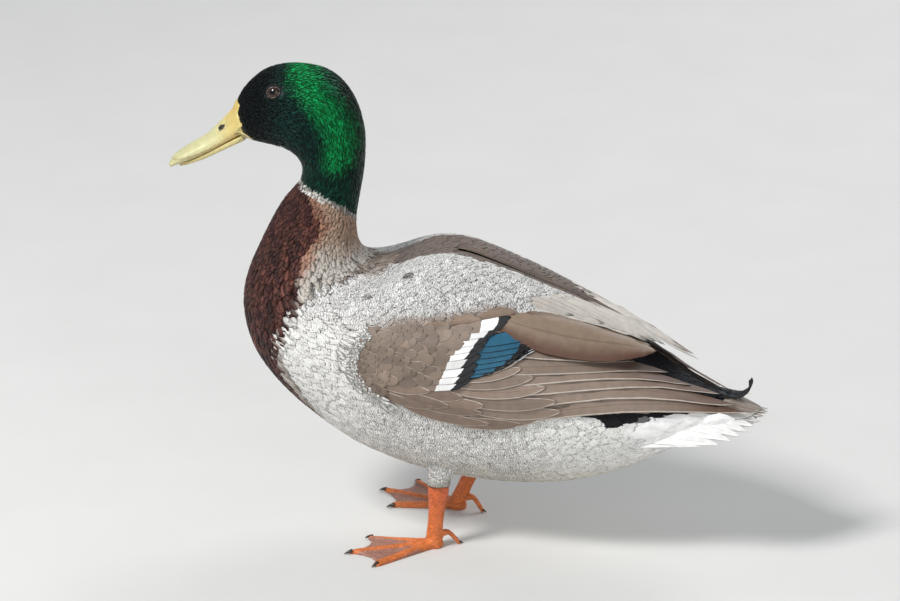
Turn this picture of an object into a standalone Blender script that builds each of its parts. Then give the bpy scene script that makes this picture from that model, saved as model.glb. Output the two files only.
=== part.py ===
"""A mallard drake standing at rest, life size, modelled as closed solids in named pieces.

Metres, +Z up. The duck faces -Y, its left side is +X, and it stands on z = 0. Every table below
is in millimetres, in the body's own frame: x = 0 is the midline and y = 0 lies over the legs.
"""

import math

import bmesh
import bpy
from mathutils import Matrix, Vector

MM = 0.001
GAP = 0.4  # mm between two pieces that touch
FRAME_SHIFT = -18.3  # mm along Y, from the body's own frame to the middle of its length

# Ribs of the body from the face to the root of the tail. Each is one flat rib across the body:
# its point on the back and on the belly (y, z), its half width, how far down the rib it is
# widest (0 back, 1 belly) and how square it is (1 is an ellipse). The last two only carry the
# long wing feathers over the tail.
BODY = [
    # name         back            belly           half  widest square
    ("face",      (-125.0, 263.0), (-117.0, 241.5), 10.5, 0.60, 1.00),
    ("lores",     (-118.5, 275.0), (-108.0, 240.0), 15.0, 0.60, 1.00),
    ("brow",      (-105.0, 286.8), (-99.0, 238.5), 18.0, 0.58, 0.95),
    ("crown",     (-86.5, 291.0), (-91.5, 236.5), 20.5, 0.58, 0.95),
    ("hindhead",  (-66.5, 287.5), (-86.0, 232.5), 21.5, 0.57, 0.95),
    ("nape",      (-53.0, 273.0), (-83.5, 227.0), 21.0, 0.52, 0.95),
    ("throat",    (-46.0, 252.0), (-84.5, 220.5), 20.0, 0.50, 1.00),
    ("neck",      (-46.0, 230.0), (-87.0, 214.5), 20.0, 0.50, 1.00),
    ("ring",      (-49.0, 210.0), (-95.0, 206.0), 20.5, 0.50, 1.00),
    ("neck_base", (-51.5, 194.0), (-103.0, 192.0), 23.0, 0.50, 1.00),
    ("shoulder",  (-50.5, 180.0), (-111.0, 175.0), 29.0, 0.50, 1.00),
    ("crop",      (-45.5, 170.5), (-118.0, 157.0), 38.0, 0.47, 0.98),
    ("breast",    (-36.0, 168.0), (-120.0, 139.0), 46.0, 0.45, 0.95),
    ("fore_keel", (-22.0, 171.5), (-115.0, 118.0), 52.0, 0.45, 0.92),
    ("keel",      (-5.0, 176.5), (-103.5, 98.5), 55.5, 0.45, 0.93),
    ("mid_keel",  (14.0, 177.5), (-82.5, 77.5), 57.0, 0.45, 0.95),
    ("hind_keel", (36.0, 171.5), (-49.0, 55.5), 57.0, 0.45, 0.96),
    ("belly",     (60.0, 163.0), (-5.0, 41.0), 56.0, 0.46, 0.98),
    ("hip",       (85.0, 151.5), (42.0, 37.0), 53.0, 0.48, 0.98),
    ("croup",     (108.0, 136.5), (86.0, 41.5), 47.0, 0.50, 0.98),
    ("rump",      (133.0, 119.5), (122.0, 54.5), 38.0, 0.50, 0.98),
    ("vent",      (154.0, 108.0), (148.0, 68.5), 27.0, 0.50, 0.98),
    ("tail_root", (176.0, 98.5), (168.0, 80.0), 16.0, 0.50, 1.00),
    ("over_tail", (190.0, 98.0), (184.0, 84.0), 15.0, 0.50, 1.00),
    ("past_tail", (204.0, 98.0), (198.0, 86.0), 14.0, 0.50, 1.00),
]

# The upper half of the bill, a roof at the base that flattens to a spoon with a nail.
UPPER_BILL = [
    # name       culmen           tomium          half  widest square
    ("base",    (-125.3, 261.3), (-119.2, 244.6), 10.3, 0.66, 0.95),
    ("nostril", (-133.0, 252.6), (-128.0, 239.6), 9.7, 0.70, 0.90),
    ("saddle",  (-142.0, 243.0), (-138.5, 233.3), 9.8, 0.68, 0.80),
    ("blade",   (-150.5, 237.3), (-148.0, 228.3), 10.7, 0.62, 0.80),
    ("spoon",   (-158.2, 232.0), (-156.5, 224.6), 11.0, 0.60, 0.80),
    ("round",   (-162.9, 228.2), (-161.8, 222.0), 9.2, 0.58, 0.85),
    ("nail",    (-165.4, 224.8), (-164.4, 220.4), 5.8, 0.55, 0.95),
    ("tip",     (-166.4, 223.3), (-165.8, 220.8), 2.6, 0.50, 1.00),
]
LOWER_BILL = [
    ("base",    (-118.9, 243.9), (-117.9, 240.9), 9.3, 0.35, 0.80),
    ("saddle",  (-128.0, 239.0), (-126.8, 236.4), 8.7, 0.35, 0.80),
    ("blade",   (-138.5, 232.7), (-137.5, 230.4), 8.7, 0.35, 0.80),
    ("spoon",   (-148.0, 227.7), (-147.4, 226.0), 9.3, 0.35, 0.80),
    ("round",   (-155.8, 224.1), (-155.5, 222.8), 7.6, 0.35, 0.85),
    ("tip",     (-159.6, 222.3), (-159.5, 221.5), 3.2, 0.35, 1.00),
]

BODY_RADIUS = 74.0  # of the trunk's widest part

# The layers of long feathers that lie on the body: the place along it, counted in ribs, the
# angle of the upper and the lower edge round it (0 is the back, 90 the side), how far the layer
# is lifted off the body and how thick it is.
SCAPULARS = [
    (12.60, 20.0, 50.0, 0.0, 1.2),
    (13.30, 9.0, 70.0, 0.0, 2.8),
    (14.20, 6.0, 80.5, 0.0, 4.0),
    (14.90, 5.0, 74.0, 0.0, 4.4),
    (15.60, 4.0, 66.0, 0.0, 4.4),
    (16.35, 4.0, 51.0, 0.0, 4.2),
    (17.00, 3.5, 36.5, 0.0, 4.2),
    (17.60, 3.0, 26.0, 0.5, 4.2),
    (18.20, 3.0, 16.0, 2.5, 3.8),
    (18.80, 3.0, 11.0, 5.5, 3.4),
    (19.30, 3.5, 9.5, 9.0, 2.8),
    (19.65, 5.0, 8.0, 11.5, 1.8),
]
WING = [
    (14.30, 82.5, 89.0, 0.0, 2.0),
    (14.50, 80.0, 97.0, 0.0, 3.4),
    (14.90, 75.5, 103.5, 0.0, 4.8),
    (15.60, 67.5, 108.5, 0.0, 5.2),
    (16.35, 52.5, 107.0, 0.0, 5.4),
    (16.75, 51.5, 104.0, 0.0, 5.2),
    (17.20, 52.0, 101.5, 0.0, 4.8),
    (17.64, 52.5, 96.5, 0.0, 4.2),
]
TERTIALS = [
    (16.72, 43.5, 50.0, 0.0, 3.0),
    (17.05, 37.5, 50.5, 0.0, 5.0),
    (17.60, 27.5, 51.0, 0.4, 5.2),
    (18.30, 17.0, 48.5, 1.8, 5.0),
    (18.85, 12.5, 44.0, 3.6, 4.8),
    (19.40, 11.0, 31.0, 7.0, 4.2),
    (19.80, 9.5, 20.0, 10.0, 3.2),
    (20.05, 9.0, 13.5, 12.0, 2.0),
]
PRIMARIES = [
    (17.68, 52.5, 96.0, 0.0, 4.2),
    (18.30, 50.5, 88.0, 0.0, 4.0),
    (18.85, 46.0, 83.0, 0.2, 3.8),
    (19.40, 34.0, 80.0, 0.5, 3.4),
    (20.00, 27.0, 77.5, 0.8, 3.0),
    (20.80, 34.0, 74.0, 1.0, 2.6),
    (21.60, 48.0, 74.0, 1.2, 2.2),
    (22.40, 58.0, 76.0, 1.2, 1.8),
    (22.95, 66.0, 76.0, 1.2, 1.4),
]

REACH = {"l": 0.0, "r": 0.45}  # the right wing lies a little farther back

# The tail, a fan with its ridge along the middle.
TAIL_HALF_WIDTH = 36.0
TAIL_TIP_Y = 203.0
TAIL_THICKNESS = 2.0

# Legs: foot position (x, y), where the ankle is above it, and how far the foot is turned out.
LEGS = {
    "l": {"foot": (31.0, 3.0), "ankle": (31.5, 6.0, 39.5), "splay": 26.0},
    "r": {"foot": (-33.0, 4.0), "ankle": (-32.0, 19.0, 38.5), "splay": -18.0},
}
FOOT_TOP = 4.6  # height of the foot under the shank
TOES = [(-27.0, 41.0), (0.0, 53.0), (27.0, 48.0)]  # direction from the middle toe, and length
TOE_HALF_WIDTH = 2.9
WEB_THICKNESS = 1.3
HEEL_RADIUS = 5.6

EYE_RADIUS = 4.9
EYE_PLACE = (2.35, 51.0, -2.3)  # ribs along the body, degrees round it, height off it
SOCKET_GAP = 0.3

COLOURS = {
    # name: colour, roughness
    "green_head": ((0.012, 0.085, 0.035), 0.45),
    "chestnut_breast": ((0.115, 0.035, 0.022), 0.75),
    "grey_flank": ((0.52, 0.50, 0.47), 0.80),
    "black_rump": ((0.012, 0.012, 0.013), 0.60),
    "white_tail": ((0.78, 0.76, 0.73), 0.75),
    "pale_scapulars": ((0.50, 0.46, 0.41), 0.80),
    "taupe_wing": ((0.23, 0.17, 0.13), 0.70),
    "brown_tertials": ((0.22, 0.14, 0.09), 0.60),
    "brown_primaries": ((0.24, 0.17, 0.13), 0.65),
    "yellow_bill": ((0.66, 0.60, 0.30), 0.40),
    "orange_leg": ((0.80, 0.20, 0.04), 0.50),
    "dark_eye": ((0.02, 0.012, 0.008), 0.08),
}


def rib_number(name):
    """The place of a named rib along the body, counted in ribs."""
    return float([row[0] for row in BODY].index(name))


def smooth_row(rows, place):
    """The numbers of a table at any place along it, on a smooth curve through its rows."""
    last = len(rows) - 1
    i = min(max(int(place), 0), last - 1)
    t = place - i
    four = [rows[min(max(i + k, 0), last)] for k in (-1, 0, 1, 2)]
    result = []
    for a, b, c, d in zip(*four):
        result.append(
            0.5 * (2 * b + (c - a) * t + (2 * a - 5 * b + 4 * c - d) * t**2 + (3 * b - a - 3 * c + d) * t**3)
        )
    return result


def on_ribs(table, place, angle, height=0.0):
    """A point on the surface through a table of ribs. angle goes round from the back by the left
    side to the belly, and height is how far the point stands off the surface."""
    rows = [(*row[1], *row[2], *row[3:]) for row in table]

    def flat_point(place, angle):
        back_y, back_z, belly_y, belly_z, half, widest, square = smooth_row(rows, place)
        sine, cosine = math.sin(angle), math.cos(angle)
        down = 0.5 * (1 - math.copysign(abs(cosine) ** square, cosine))
        down **= math.log(widest) / math.log(0.5)
        across = half * math.copysign(abs(sine) ** square, sine)
        return Vector((across, back_y + (belly_y - back_y) * down, back_z + (belly_z - back_z) * down))

    here = flat_point(place, angle)
    if height:
        step = 0.02
        along = flat_point(place + step, angle) - flat_point(place - step, angle)
        around = flat_point(place, angle + step) - flat_point(place, angle - step)
        here += height * around.cross(along).normalized()
    return here


def clear_scene():
    for obj in list(bpy.data.objects):
        bpy.data.objects.remove(obj)


def new_collection(name):
    collection = bpy.data.collections.new(name)
    bpy.context.scene.collection.children.link(collection)
    return collection


def material(name):
    """The named material, made the first time it is asked for."""
    if name in bpy.data.materials:
        return bpy.data.materials[name]
    colour, roughness = COLOURS[name]
    made = bpy.data.materials.new(name)
    made.use_nodes = True
    shader = made.node_tree.nodes["Principled BSDF"]
    shader.inputs["Base Color"].default_value = (*colour, 1.0)
    shader.inputs["Roughness"].default_value = roughness
    shader.inputs["Metallic"].default_value = 0.0
    return made


def add_object(name, mesh, surface, collection=None):
    """The bmesh as a smooth, outward-facing object, in the duck's collection unless told."""
    bmesh.ops.recalc_face_normals(mesh, faces=mesh.faces)
    for vertex in mesh.verts:
        vertex.co *= MM
    for face in mesh.faces:
        face.smooth = True
    data = bpy.data.meshes.new(name)
    mesh.to_mesh(data)
    mesh.free()
    obj = bpy.data.objects.new(name, data)
    (collection or DUCK).objects.link(obj)
    obj.parent = BODY_FRAME
    if surface:
        data.materials.append(material(surface))
    return obj


def loft(rings):
    """A closed bmesh through rings of points, capped at both ends."""
    mesh = bmesh.new()
    loops = [[mesh.verts.new(point) for point in ring] for ring in rings]
    for one, two in zip(loops, loops[1:]):
        for k in range(len(one)):
            j = (k + 1) % len(one)
            mesh.faces.new((one[k], one[j], two[j], two[k]))
    mesh.faces.new(loops[0])
    mesh.faces.new(reversed(loops[-1]))
    return mesh


def ribbed(table, start, end, rings, around, height=0.0):
    """Rings of points round a table of ribs between two places along it."""
    places = [start + (end - start) * k / rings for k in range(rings + 1)]
    angles = [2 * math.pi * k / around for k in range(around)]
    return [[on_ribs(table, place, angle, height) for angle in angles] for place in places]


def cut(obj, cutter):
    """Takes the cutter's solid out of the object."""
    modifier = obj.modifiers.new("cut_" + cutter.name, "BOOLEAN")
    modifier.operation = "DIFFERENCE"
    modifier.solver = "EXACT"
    modifier.object = cutter


def add_cutter(name, mesh):
    cutter = add_object(name, mesh, None, CUTTERS)
    cutter.hide_render = True
    cutter.display_type = "WIRE"
    return cutter


def add_layer(name, rows, side, surface, reach=0.0, steps=2, across=5):
    """A layer of long feathers on one side of the body, a crowned shell with a blunt edge. reach
    draws its tips out by that many ribs."""
    edge = 0.35
    rings = []
    for k in range(steps * (len(rows) - 1) + 1):
        place, upper, lower, lift, thick = smooth_row(rows, k / steps)
        place += reach * max(0.0, (place - rib_number("belly")) / 3.0) ** 2
        chord_dip = BODY_RADIUS * (1 - math.cos(math.radians(lower - upper) / across / 2))
        floor = GAP + lift + chord_dip
        outer, inner = [], []
        for j in range(across + 1):
            f = j / across
            angle = side * math.radians(upper + (lower - upper) * f)
            crown = edge + (1 - edge) * (1 - (2 * f - 1) ** 4)
            outer.append(on_ribs(BODY, place, angle, floor + thick * crown))
            inner.append(on_ribs(BODY, place, angle, floor))
        rings.append(outer + inner[::-1])
    return add_object(name, loft(rings), surface)


def ellipses(path, around):
    """Level rings down a limb: each row is its centre x, y, z and its half width and half depth."""
    rings = []
    for x, y, z, half_width, half_depth in path:
        turns = [2 * math.pi * k / around for k in range(around)]
        rings.append([Vector((x + half_width * math.cos(a), y + half_depth * math.sin(a), z)) for a in turns])
    return rings


def add_eye(side_name, side):
    place, angle, height = EYE_PLACE
    centre = on_ribs(BODY, place, side * math.radians(angle), height)
    for radius, is_eye in ((EYE_RADIUS, True), (EYE_RADIUS + SOCKET_GAP, False)):
        mesh = bmesh.new()
        bmesh.ops.create_icosphere(mesh, subdivisions=2, radius=radius, matrix=Matrix.Translation(centre))
        if is_eye:
            add_object("eye_" + side_name, mesh, "dark_eye")
        else:
            cut(bpy.data.objects["head"], add_cutter("socket_" + side_name, mesh))


def add_tail():
    """The tail feathers as one folded fan: higher along the middle, and longest there."""
    ridge_slope = 0.17
    ridge_tip_z = 91.7
    root_y = 118.0
    across, along = 16, 6

    def surface_point(w, u):
        side = abs(w)
        tip_y = TAIL_TIP_Y - 12.0 * side - 19.0 * side**3
        y = root_y + (tip_y - root_y) * u
        ridge_z = ridge_tip_z + (TAIL_TIP_Y - y) * ridge_slope
        droop = 17.0 + 0.28 * max(0.0, 173.0 - y)
        rounded = (math.sqrt(side**2 + 0.02) - math.sqrt(0.02)) / (math.sqrt(1.02) - math.sqrt(0.02))
        return Vector((w * TAIL_HALF_WIDTH, y, ridge_z - droop * rounded))

    rings = []
    for i in range(across + 1):
        w = 2 * i / across - 1
        top = [surface_point(w, k / along) for k in range(along + 1)]
        under = [point - Vector((0, 0, TAIL_THICKNESS)) for point in reversed(top)]
        rings.append(top + under)
    tail = add_object("tail", loft(rings), "white_tail")
    start, end = rib_number("croup") - 0.5, rib_number("tail_root") + 0.015
    cut(tail, add_cutter("rump_clearance", loft(ribbed(BODY, start, end, 10, 24, GAP))))


def add_curl(side_name, x, rise):
    """One of the black feathers over the tail that curl up and forward."""
    path = [(170.0, 103.0), (178.0, 100.0), (184.0, 100.4), (188.6, 104.0), (190.0, 108.0), (189.2, 111.2 + rise)]
    width, half_thickness = 5.2, 0.7
    rings = []
    for k, (y, z) in enumerate(path):
        before, after = path[max(k - 1, 0)], path[min(k + 1, len(path) - 1)]
        along = Vector((0, after[0] - before[0], after[1] - before[1])).normalized()
        out = Vector((1, 0, 0)).cross(along) * half_thickness
        half = Vector((0.5 * width * (1 - 0.5 * (k == len(path) - 1)), 0, 0))
        centre = Vector((x, y, z))
        rings.append([centre - half - out, centre + half - out, centre + half + out, centre - half + out])
    add_object("curl_" + side_name, loft(rings), "black_rump")


def foot_radius(turn):
    """How far the web and toes reach from the shank in a direction, in degrees off the middle toe."""
    first, last = TOES[0], TOES[-1]
    if turn < first[0] or turn > last[0]:
        direction, length = first if turn < first[0] else last
        off = math.radians(min(abs(turn - direction), 90.0))
        return min(length, max(HEEL_RADIUS, TOE_HALF_WIDTH / math.sin(off)))
    for (one, one_length), (two, two_length) in zip(TOES, TOES[1:]):
        if one <= turn <= two:
            f = (turn - one) / (two - one)
            web = one_length + (two_length - one_length) * f
            return web * (1 - 0.16 * math.sin(math.pi * f) ** 0.6)
    return HEEL_RADIUS


def foot_height(turn, radius):
    """Height of the upper surface: three ridged toes with a web between them."""
    ridge = 0.0
    for direction, length in TOES:
        off = math.radians(min(abs(turn - direction), 90.0))
        distance = radius * math.sin(off)
        crest = 4.4 - 1.6 * radius / length
        ridge = max(ridge, (crest - WEB_THICKNESS) * math.exp(-((distance / 2.4) ** 2)))
    toes = WEB_THICKNESS + ridge
    joint = math.exp(-((radius / 9.0) ** 2))
    return toes + (FOOT_TOP - toes) * joint


def add_foot(side_name, leg):
    """The webbed foot, flat underneath, its upper side ridged along the toes."""
    turns = [-180, -140, -100, -70, -52, -42, -36, -32.5, -30.5, -28.6, -27, -25, -21, -13.5, -6, -2]
    turns += [0, 2, 6, 13.5, 21, 25, 27, 28.6, 30.5, 32.5, 36, 42, 52, 70, 100, 140]
    shares = [0.12, 0.3, 0.52, 0.76, 0.97, 1.0]
    x, y = leg["foot"]
    heading = math.radians(leg["splay"])
    mesh = bmesh.new()

    def vertex(turn, radius, z):
        a = heading + math.copysign(1, leg["splay"]) * math.radians(turn)
        return mesh.verts.new((x + radius * math.sin(a), y - radius * math.cos(a), z))

    loops = []
    for share in shares:
        sunk = 0.45 if share == 1.0 else 1.0
        reach = [foot_radius(turn) * share for turn in turns]
        loops.append([vertex(t, r, sunk * foot_height(t, r)) for t, r in zip(turns, reach)])
    loops.append([vertex(t, foot_radius(t), 0.0) for t in turns])
    for one, two in zip(loops, loops[1:]):
        for k in range(len(turns)):
            j = (k + 1) % len(turns)
            mesh.faces.new((one[k], one[j], two[j], two[k]))
    mesh.faces.new(loops[0])
    mesh.faces.new(reversed(loops[-1]))
    add_object("foot_" + side_name, mesh, "orange_leg")


def add_leg(side_name, leg):
    """The feathered thigh, the bare shank, the webbed foot and the small hind toe."""
    foot_x, foot_y = leg["foot"]
    ankle_x, ankle_y, ankle_z = leg["ankle"]
    out = math.copysign(1, ankle_x)
    thigh = [
        (ankle_x + 5.0 * out, ankle_y + 5.0, ankle_z + 34.0, 14.0, 21.0),
        (ankle_x + 4.5 * out, ankle_y + 3.5, ankle_z + 24.0, 14.0, 20.0),
        (ankle_x + 3.0 * out, ankle_y + 1.5, ankle_z + 14.0, 11.5, 15.5),
        (ankle_x + 1.5 * out, ankle_y + 0.5, ankle_z + 6.5, 8.5, 10.5),
        (ankle_x, ankle_y, ankle_z + 0.5, 5.8, 7.6),
    ]
    thigh_piece = add_object("thigh_" + side_name, loft(ellipses(thigh, 20)), "grey_flank")
    cut(thigh_piece, bpy.data.objects["belly_clearance"])
    shank = []
    for down, half_width, half_depth in ((0.0, 3.7, 6.2), (0.12, 3.8, 6.4), (0.35, 3.1, 5.1), (0.7, 3.0, 4.7),
                                         (1.0, 3.4, 5.2)):
        x = ankle_x + (foot_x - ankle_x) * down
        y = ankle_y + (foot_y - ankle_y) * down
        z = ankle_z + (FOOT_TOP + GAP - ankle_z) * down
        shank.append((x, y, z, half_width, half_depth))
    add_object("tarsus_" + side_name, loft(ellipses(shank, 14)), "orange_leg")
    heading = math.radians(leg["splay"])
    behind = Vector((-math.sin(heading), math.cos(heading), 0.0))
    hallux = []
    lean = (ankle_y - foot_y) / (ankle_z - FOOT_TOP)
    for distance, z, radius in ((7.1, 10.0, 1.5), (9.2, 8.0, 1.8), (12.6, 4.0, 1.6), (14.6, 1.2, 1.3), (15.0, 0.0, 1.1)):
        centre = Vector((foot_x, foot_y + lean * (10.0 - FOOT_TOP), 0.0)) + behind * distance
        hallux.append((centre.x, centre.y, z, radius, radius))
    add_object("hallux_" + side_name, loft(ellipses(hallux, 8)), "orange_leg")
    add_foot(side_name, leg)


clear_scene()
DUCK = new_collection("mallard_drake")
CUTTERS = new_collection("cutters")
BODY_FRAME = bpy.data.objects.new("body_frame", None)
BODY_FRAME.location = (0.0, FRAME_SHIFT * MM, 0.0)
DUCK.objects.link(BODY_FRAME)

seam = 0.02
neck, shoulder = rib_number("neck") - 0.5, rib_number("shoulder")
croup, tail_root = rib_number("croup"), rib_number("tail_root")
add_object("head", loft(ribbed(BODY, 0, neck, 19, 22)), "green_head")
add_object("neck", loft(ribbed(BODY, neck + seam, shoulder, 9, 24)), "chestnut_breast")
add_object("trunk", loft(ribbed(BODY, shoulder + seam, croup, 24, 30)), "grey_flank")
add_object("rump", loft(ribbed(BODY, croup + seam, tail_root, 8, 24)), "black_rump")
add_object("bill_upper", loft(ribbed(UPPER_BILL, 0, len(UPPER_BILL) - 1, 10, 16)), "yellow_bill")
add_object("bill_lower", loft(ribbed(LOWER_BILL, 0, len(LOWER_BILL) - 1, 7, 12)), "yellow_bill")
belly_solid = loft(ribbed(BODY, rib_number("keel"), croup + 0.5, 18, 32, GAP))
add_cutter("belly_clearance", belly_solid)
for side_name, side in (("l", 1), ("r", -1)):
    add_eye(side_name, side)
    add_layer("scapulars_" + side_name, SCAPULARS, side, "pale_scapulars", REACH[side_name])
    add_layer("wing_" + side_name, WING, side, "taupe_wing")
    add_layer("tertials_" + side_name, TERTIALS, side, "brown_tertials", REACH[side_name])
    add_layer("primaries_" + side_name, PRIMARIES, side, "brown_primaries")
    add_curl(side_name, 3.2 * side, 0.6 * side)
    add_leg(side_name, LEGS[side_name])
add_tail()
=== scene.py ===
"""The looks of a standing mallard drake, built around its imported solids.

Lengths are in millimetres and angles in degrees until a mesh is made. The duck faces -Y, its left
side is +X and it stands on z = 0. Every surface here is read off the solids by rays, so the skin
and the feathers follow the solids wherever they go.

A place on the duck is given as (place, angle): place counts the ribs of SPINE from the face to the
tail, and angle goes round from the back (0) by a side (90) to the belly (180).
"""

import math

import bpy
import numpy as np
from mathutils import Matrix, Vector
from mathutils.bvhtree import BVHTree
from mathutils.kdtree import KDTree


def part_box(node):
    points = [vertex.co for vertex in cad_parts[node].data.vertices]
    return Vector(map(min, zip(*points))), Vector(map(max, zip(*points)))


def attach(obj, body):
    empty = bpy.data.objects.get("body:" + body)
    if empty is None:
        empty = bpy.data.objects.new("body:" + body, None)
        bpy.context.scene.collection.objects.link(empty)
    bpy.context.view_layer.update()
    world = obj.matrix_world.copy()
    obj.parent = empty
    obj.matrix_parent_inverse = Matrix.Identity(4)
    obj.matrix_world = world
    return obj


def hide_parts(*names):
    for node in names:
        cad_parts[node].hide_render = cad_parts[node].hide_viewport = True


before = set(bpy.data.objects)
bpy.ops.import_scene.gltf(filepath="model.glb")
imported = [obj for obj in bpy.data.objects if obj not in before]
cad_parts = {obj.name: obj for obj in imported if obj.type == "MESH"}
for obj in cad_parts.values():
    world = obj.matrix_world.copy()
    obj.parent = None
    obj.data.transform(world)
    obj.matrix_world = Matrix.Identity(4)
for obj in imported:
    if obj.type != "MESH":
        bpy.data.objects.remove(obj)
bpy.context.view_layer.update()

MM = 0.001
SIDES = {"l": 1, "r": -1}
rng = np.random.default_rng(7)

# Flat ribs across the body: where the plane of each one meets the back and the belly (y, z).
SPINE = [
    # back            belly
    ((-143.3, 263.0), (-135.3, 241.5)),  # face
    ((-123.3, 286.8), (-117.3, 238.5)),  # brow
    ((-84.8, 287.5), (-104.3, 232.5)),   # back of the head
    ((-64.3, 252.0), (-102.8, 220.5)),   # throat
    ((-67.3, 210.0), (-113.3, 206.0)),   # neck
    ((-68.8, 180.0), (-129.3, 175.0)),   # shoulder
    ((-54.3, 168.0), (-138.3, 139.0)),   # breast
    ((-23.3, 176.5), (-121.8, 98.5)),    # keel
    ((17.7, 171.5), (-67.3, 55.5)),      # behind the keel
    ((66.7, 151.5), (23.7, 37.0)),       # hip
    ((114.7, 119.5), (103.7, 54.5)),     # rump
    ((157.7, 98.5), (149.7, 80.0)),      # root of the tail
    ((185.7, 98.0), (179.7, 86.0)),      # over the tail
]
TAIL_ROOT = 11.0
LAST_PLACE = 12.0
PLACE_STEP = 0.025
ANGLE_STEP = 2.0
CUT = 1.5        # the widest thin cut between two solids
PAST = 0.001     # a ray starts again this far past a face that it met
FAR = 160.0      # well outside the body, from its spine
THICKEST = 12.0  # a layer of long feathers is thinner than this

# Colours are linear red, green, blue.
FACE_BLACK = (0.006, 0.009, 0.010)
HEAD_TEAL = (0.004, 0.032, 0.026)
NAPE_DARK = (0.004, 0.020, 0.012)
CHIN_GREEN = (0.005, 0.060, 0.030)
# The head's bright green: a painted sheen, where its gloss catches the light.
EMERALD_SHEEN = (0.003, 0.299, 0.074)
RING_WHITE = (0.66, 0.63, 0.58)
MAROON = (0.048, 0.014, 0.014)
RUST = (0.20, 0.070, 0.046)
RUSTY_EDGE = (0.36, 0.17, 0.105)
HINDNECK = (0.38, 0.255, 0.18)
NECK_GREY = (0.50, 0.46, 0.41)
# Painted shade: a dark brown for the crease where the shoulder's and flank's feathers come out, and for
# shaded feathers.
PAINTED_SHADE = (0.13, 0.105, 0.085)
FLANK = (0.84, 0.825, 0.79)
# FLANK painted darker, as painted shade, for the shoulder and back, where the lamps light the top more.
TOP_SHADED_FLANK = (0.72, 0.705, 0.68)
# Darker and warmer: painted shade low on the belly, near the legs.
BELLY_SHADE = (0.52, 0.48, 0.37)
FINE_BAR = (0.085, 0.078, 0.072)
THIGH_GREY = (0.40, 0.38, 0.32)
BACK_BROWN = (0.10, 0.062, 0.042)
BACK_EDGE = (0.30, 0.24, 0.19)
# Painted shade for two gaps in the back's coat.
GAP_SHADE = (0.035, 0.030, 0.026)
WARM_BROWN = (0.27, 0.165, 0.105)
CAPE = (0.27, 0.19, 0.135)
LOW_COVERT = (0.225, 0.16, 0.12)
TAUPE = (0.235, 0.175, 0.135)
TAUPE_EDGE = (0.47, 0.39, 0.31)
SILVER = (0.60, 0.55, 0.49)
SILVER_EDGE = (0.74, 0.70, 0.65)
SILVER_DARK = (0.52, 0.46, 0.40)
TERTIAL = (0.225, 0.16, 0.112)
TERTIAL_DARK = (0.095, 0.040, 0.022)
PRIMARY = (0.24, 0.177, 0.137)
PRIMARY_TIP = (0.085, 0.042, 0.026)
PRIMARY_EDGE = (0.70, 0.61, 0.53)
BLUE = (0.023, 0.145, 0.245)
WHITE = (0.83, 0.82, 0.80)
# WHITE painted lighter, as painted light, for the tail root's sides in the wing's shade.
LIT_SIDE_WHITE = (0.93, 0.92, 0.90)
BLACK = (0.007, 0.007, 0.009)
TAIL_GREY = (0.23, 0.18, 0.145)


# ---------------------------------------------------------------- numbers

def smooth_rows(rows, place):
    """The rows of a table at many places along it, on a smooth curve through them."""
    rows, place = np.asarray(rows, float), np.asarray(place, float)
    last = len(rows) - 1
    i = np.clip(place.astype(int), 0, last - 1)
    t = (place - i).reshape(place.shape + (1,) * (rows.ndim - 1))
    a, b, c, d = (rows[np.clip(i + k, 0, last)] for k in (-1, 0, 1, 2))
    return 0.5 * (2 * b + (c - a) * t + (2 * a - 5 * b + 4 * c - d) * t**2 + (3 * b - a - 3 * c + d) * t**3)


def ease(value, low, high):
    """0 below low and 1 above high, with a smooth step between them. low may be the larger."""
    t = np.clip((np.asarray(value, float) - low) / (high - low), 0, 1)
    return t * t * (3 - 2 * t)


def blend(share, one, two):
    """Colour two where share is 1 and colour one where it is 0."""
    share = np.asarray(share, float)[..., None]
    return np.asarray(one) * (1 - share) + np.asarray(two) * share


def unit(vectors):
    return vectors / np.maximum(np.linalg.norm(vectors, axis=-1, keepdims=True), 1e-9)


def chart_of(places, angles):
    """Every pair of a place and an angle, as a grid."""
    return np.stack(np.meshgrid(places, angles, indexing="ij"), axis=-1)


def pairs(first, second):
    """Two lots of numbers, such as places and angles, side by side."""
    return np.stack(np.broadcast_arrays(first, second), axis=-1)


def from_back(angle):
    """The same angle down the side where it is less than 180."""
    return np.minimum(angle, 360 - angle)


def blurred(grid, times, wrap):
    """A grid with its small steps smoothed away, along both ways. wrap closes the second one."""
    for _ in range(times):
        edge = np.concatenate([grid[:1], grid, grid[-1:]])
        grid = (edge[:-2] + 2 * edge[1:-1] + edge[2:]) / 4
        if wrap:
            edge = np.concatenate([grid[:, -1:], grid, grid[:, :1]], axis=1)
        else:
            edge = np.concatenate([grid[:, :1], grid, grid[:, -1:]], axis=1)
        grid = (edge[:, :-2] + 2 * edge[:, 1:-1] + edge[:, 2:]) / 4
    return grid


def filled(grid, reach):
    """A grid with the dips along its first way filled in, where they are no wider than twice the reach."""
    for pick in (np.max, np.min):
        edge = np.concatenate([grid[:1]] * reach + [grid] + [grid[-1:]] * reach)
        grid = pick([edge[k:k + len(grid)] for k in range(2 * reach + 1)], axis=0)
    return grid


def distance_to_line(points, line):
    """How far each flat point is from a line through a few points."""
    line = np.asarray(line, float)
    nearest = np.full(len(points), np.inf)
    for start, end in zip(line, line[1:]):
        step = end - start
        t = np.clip((points - start) @ step / (step @ step), 0, 1)
        nearest = np.minimum(nearest, np.linalg.norm(points - start - t[:, None] * step, axis=1))
    return nearest


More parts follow.
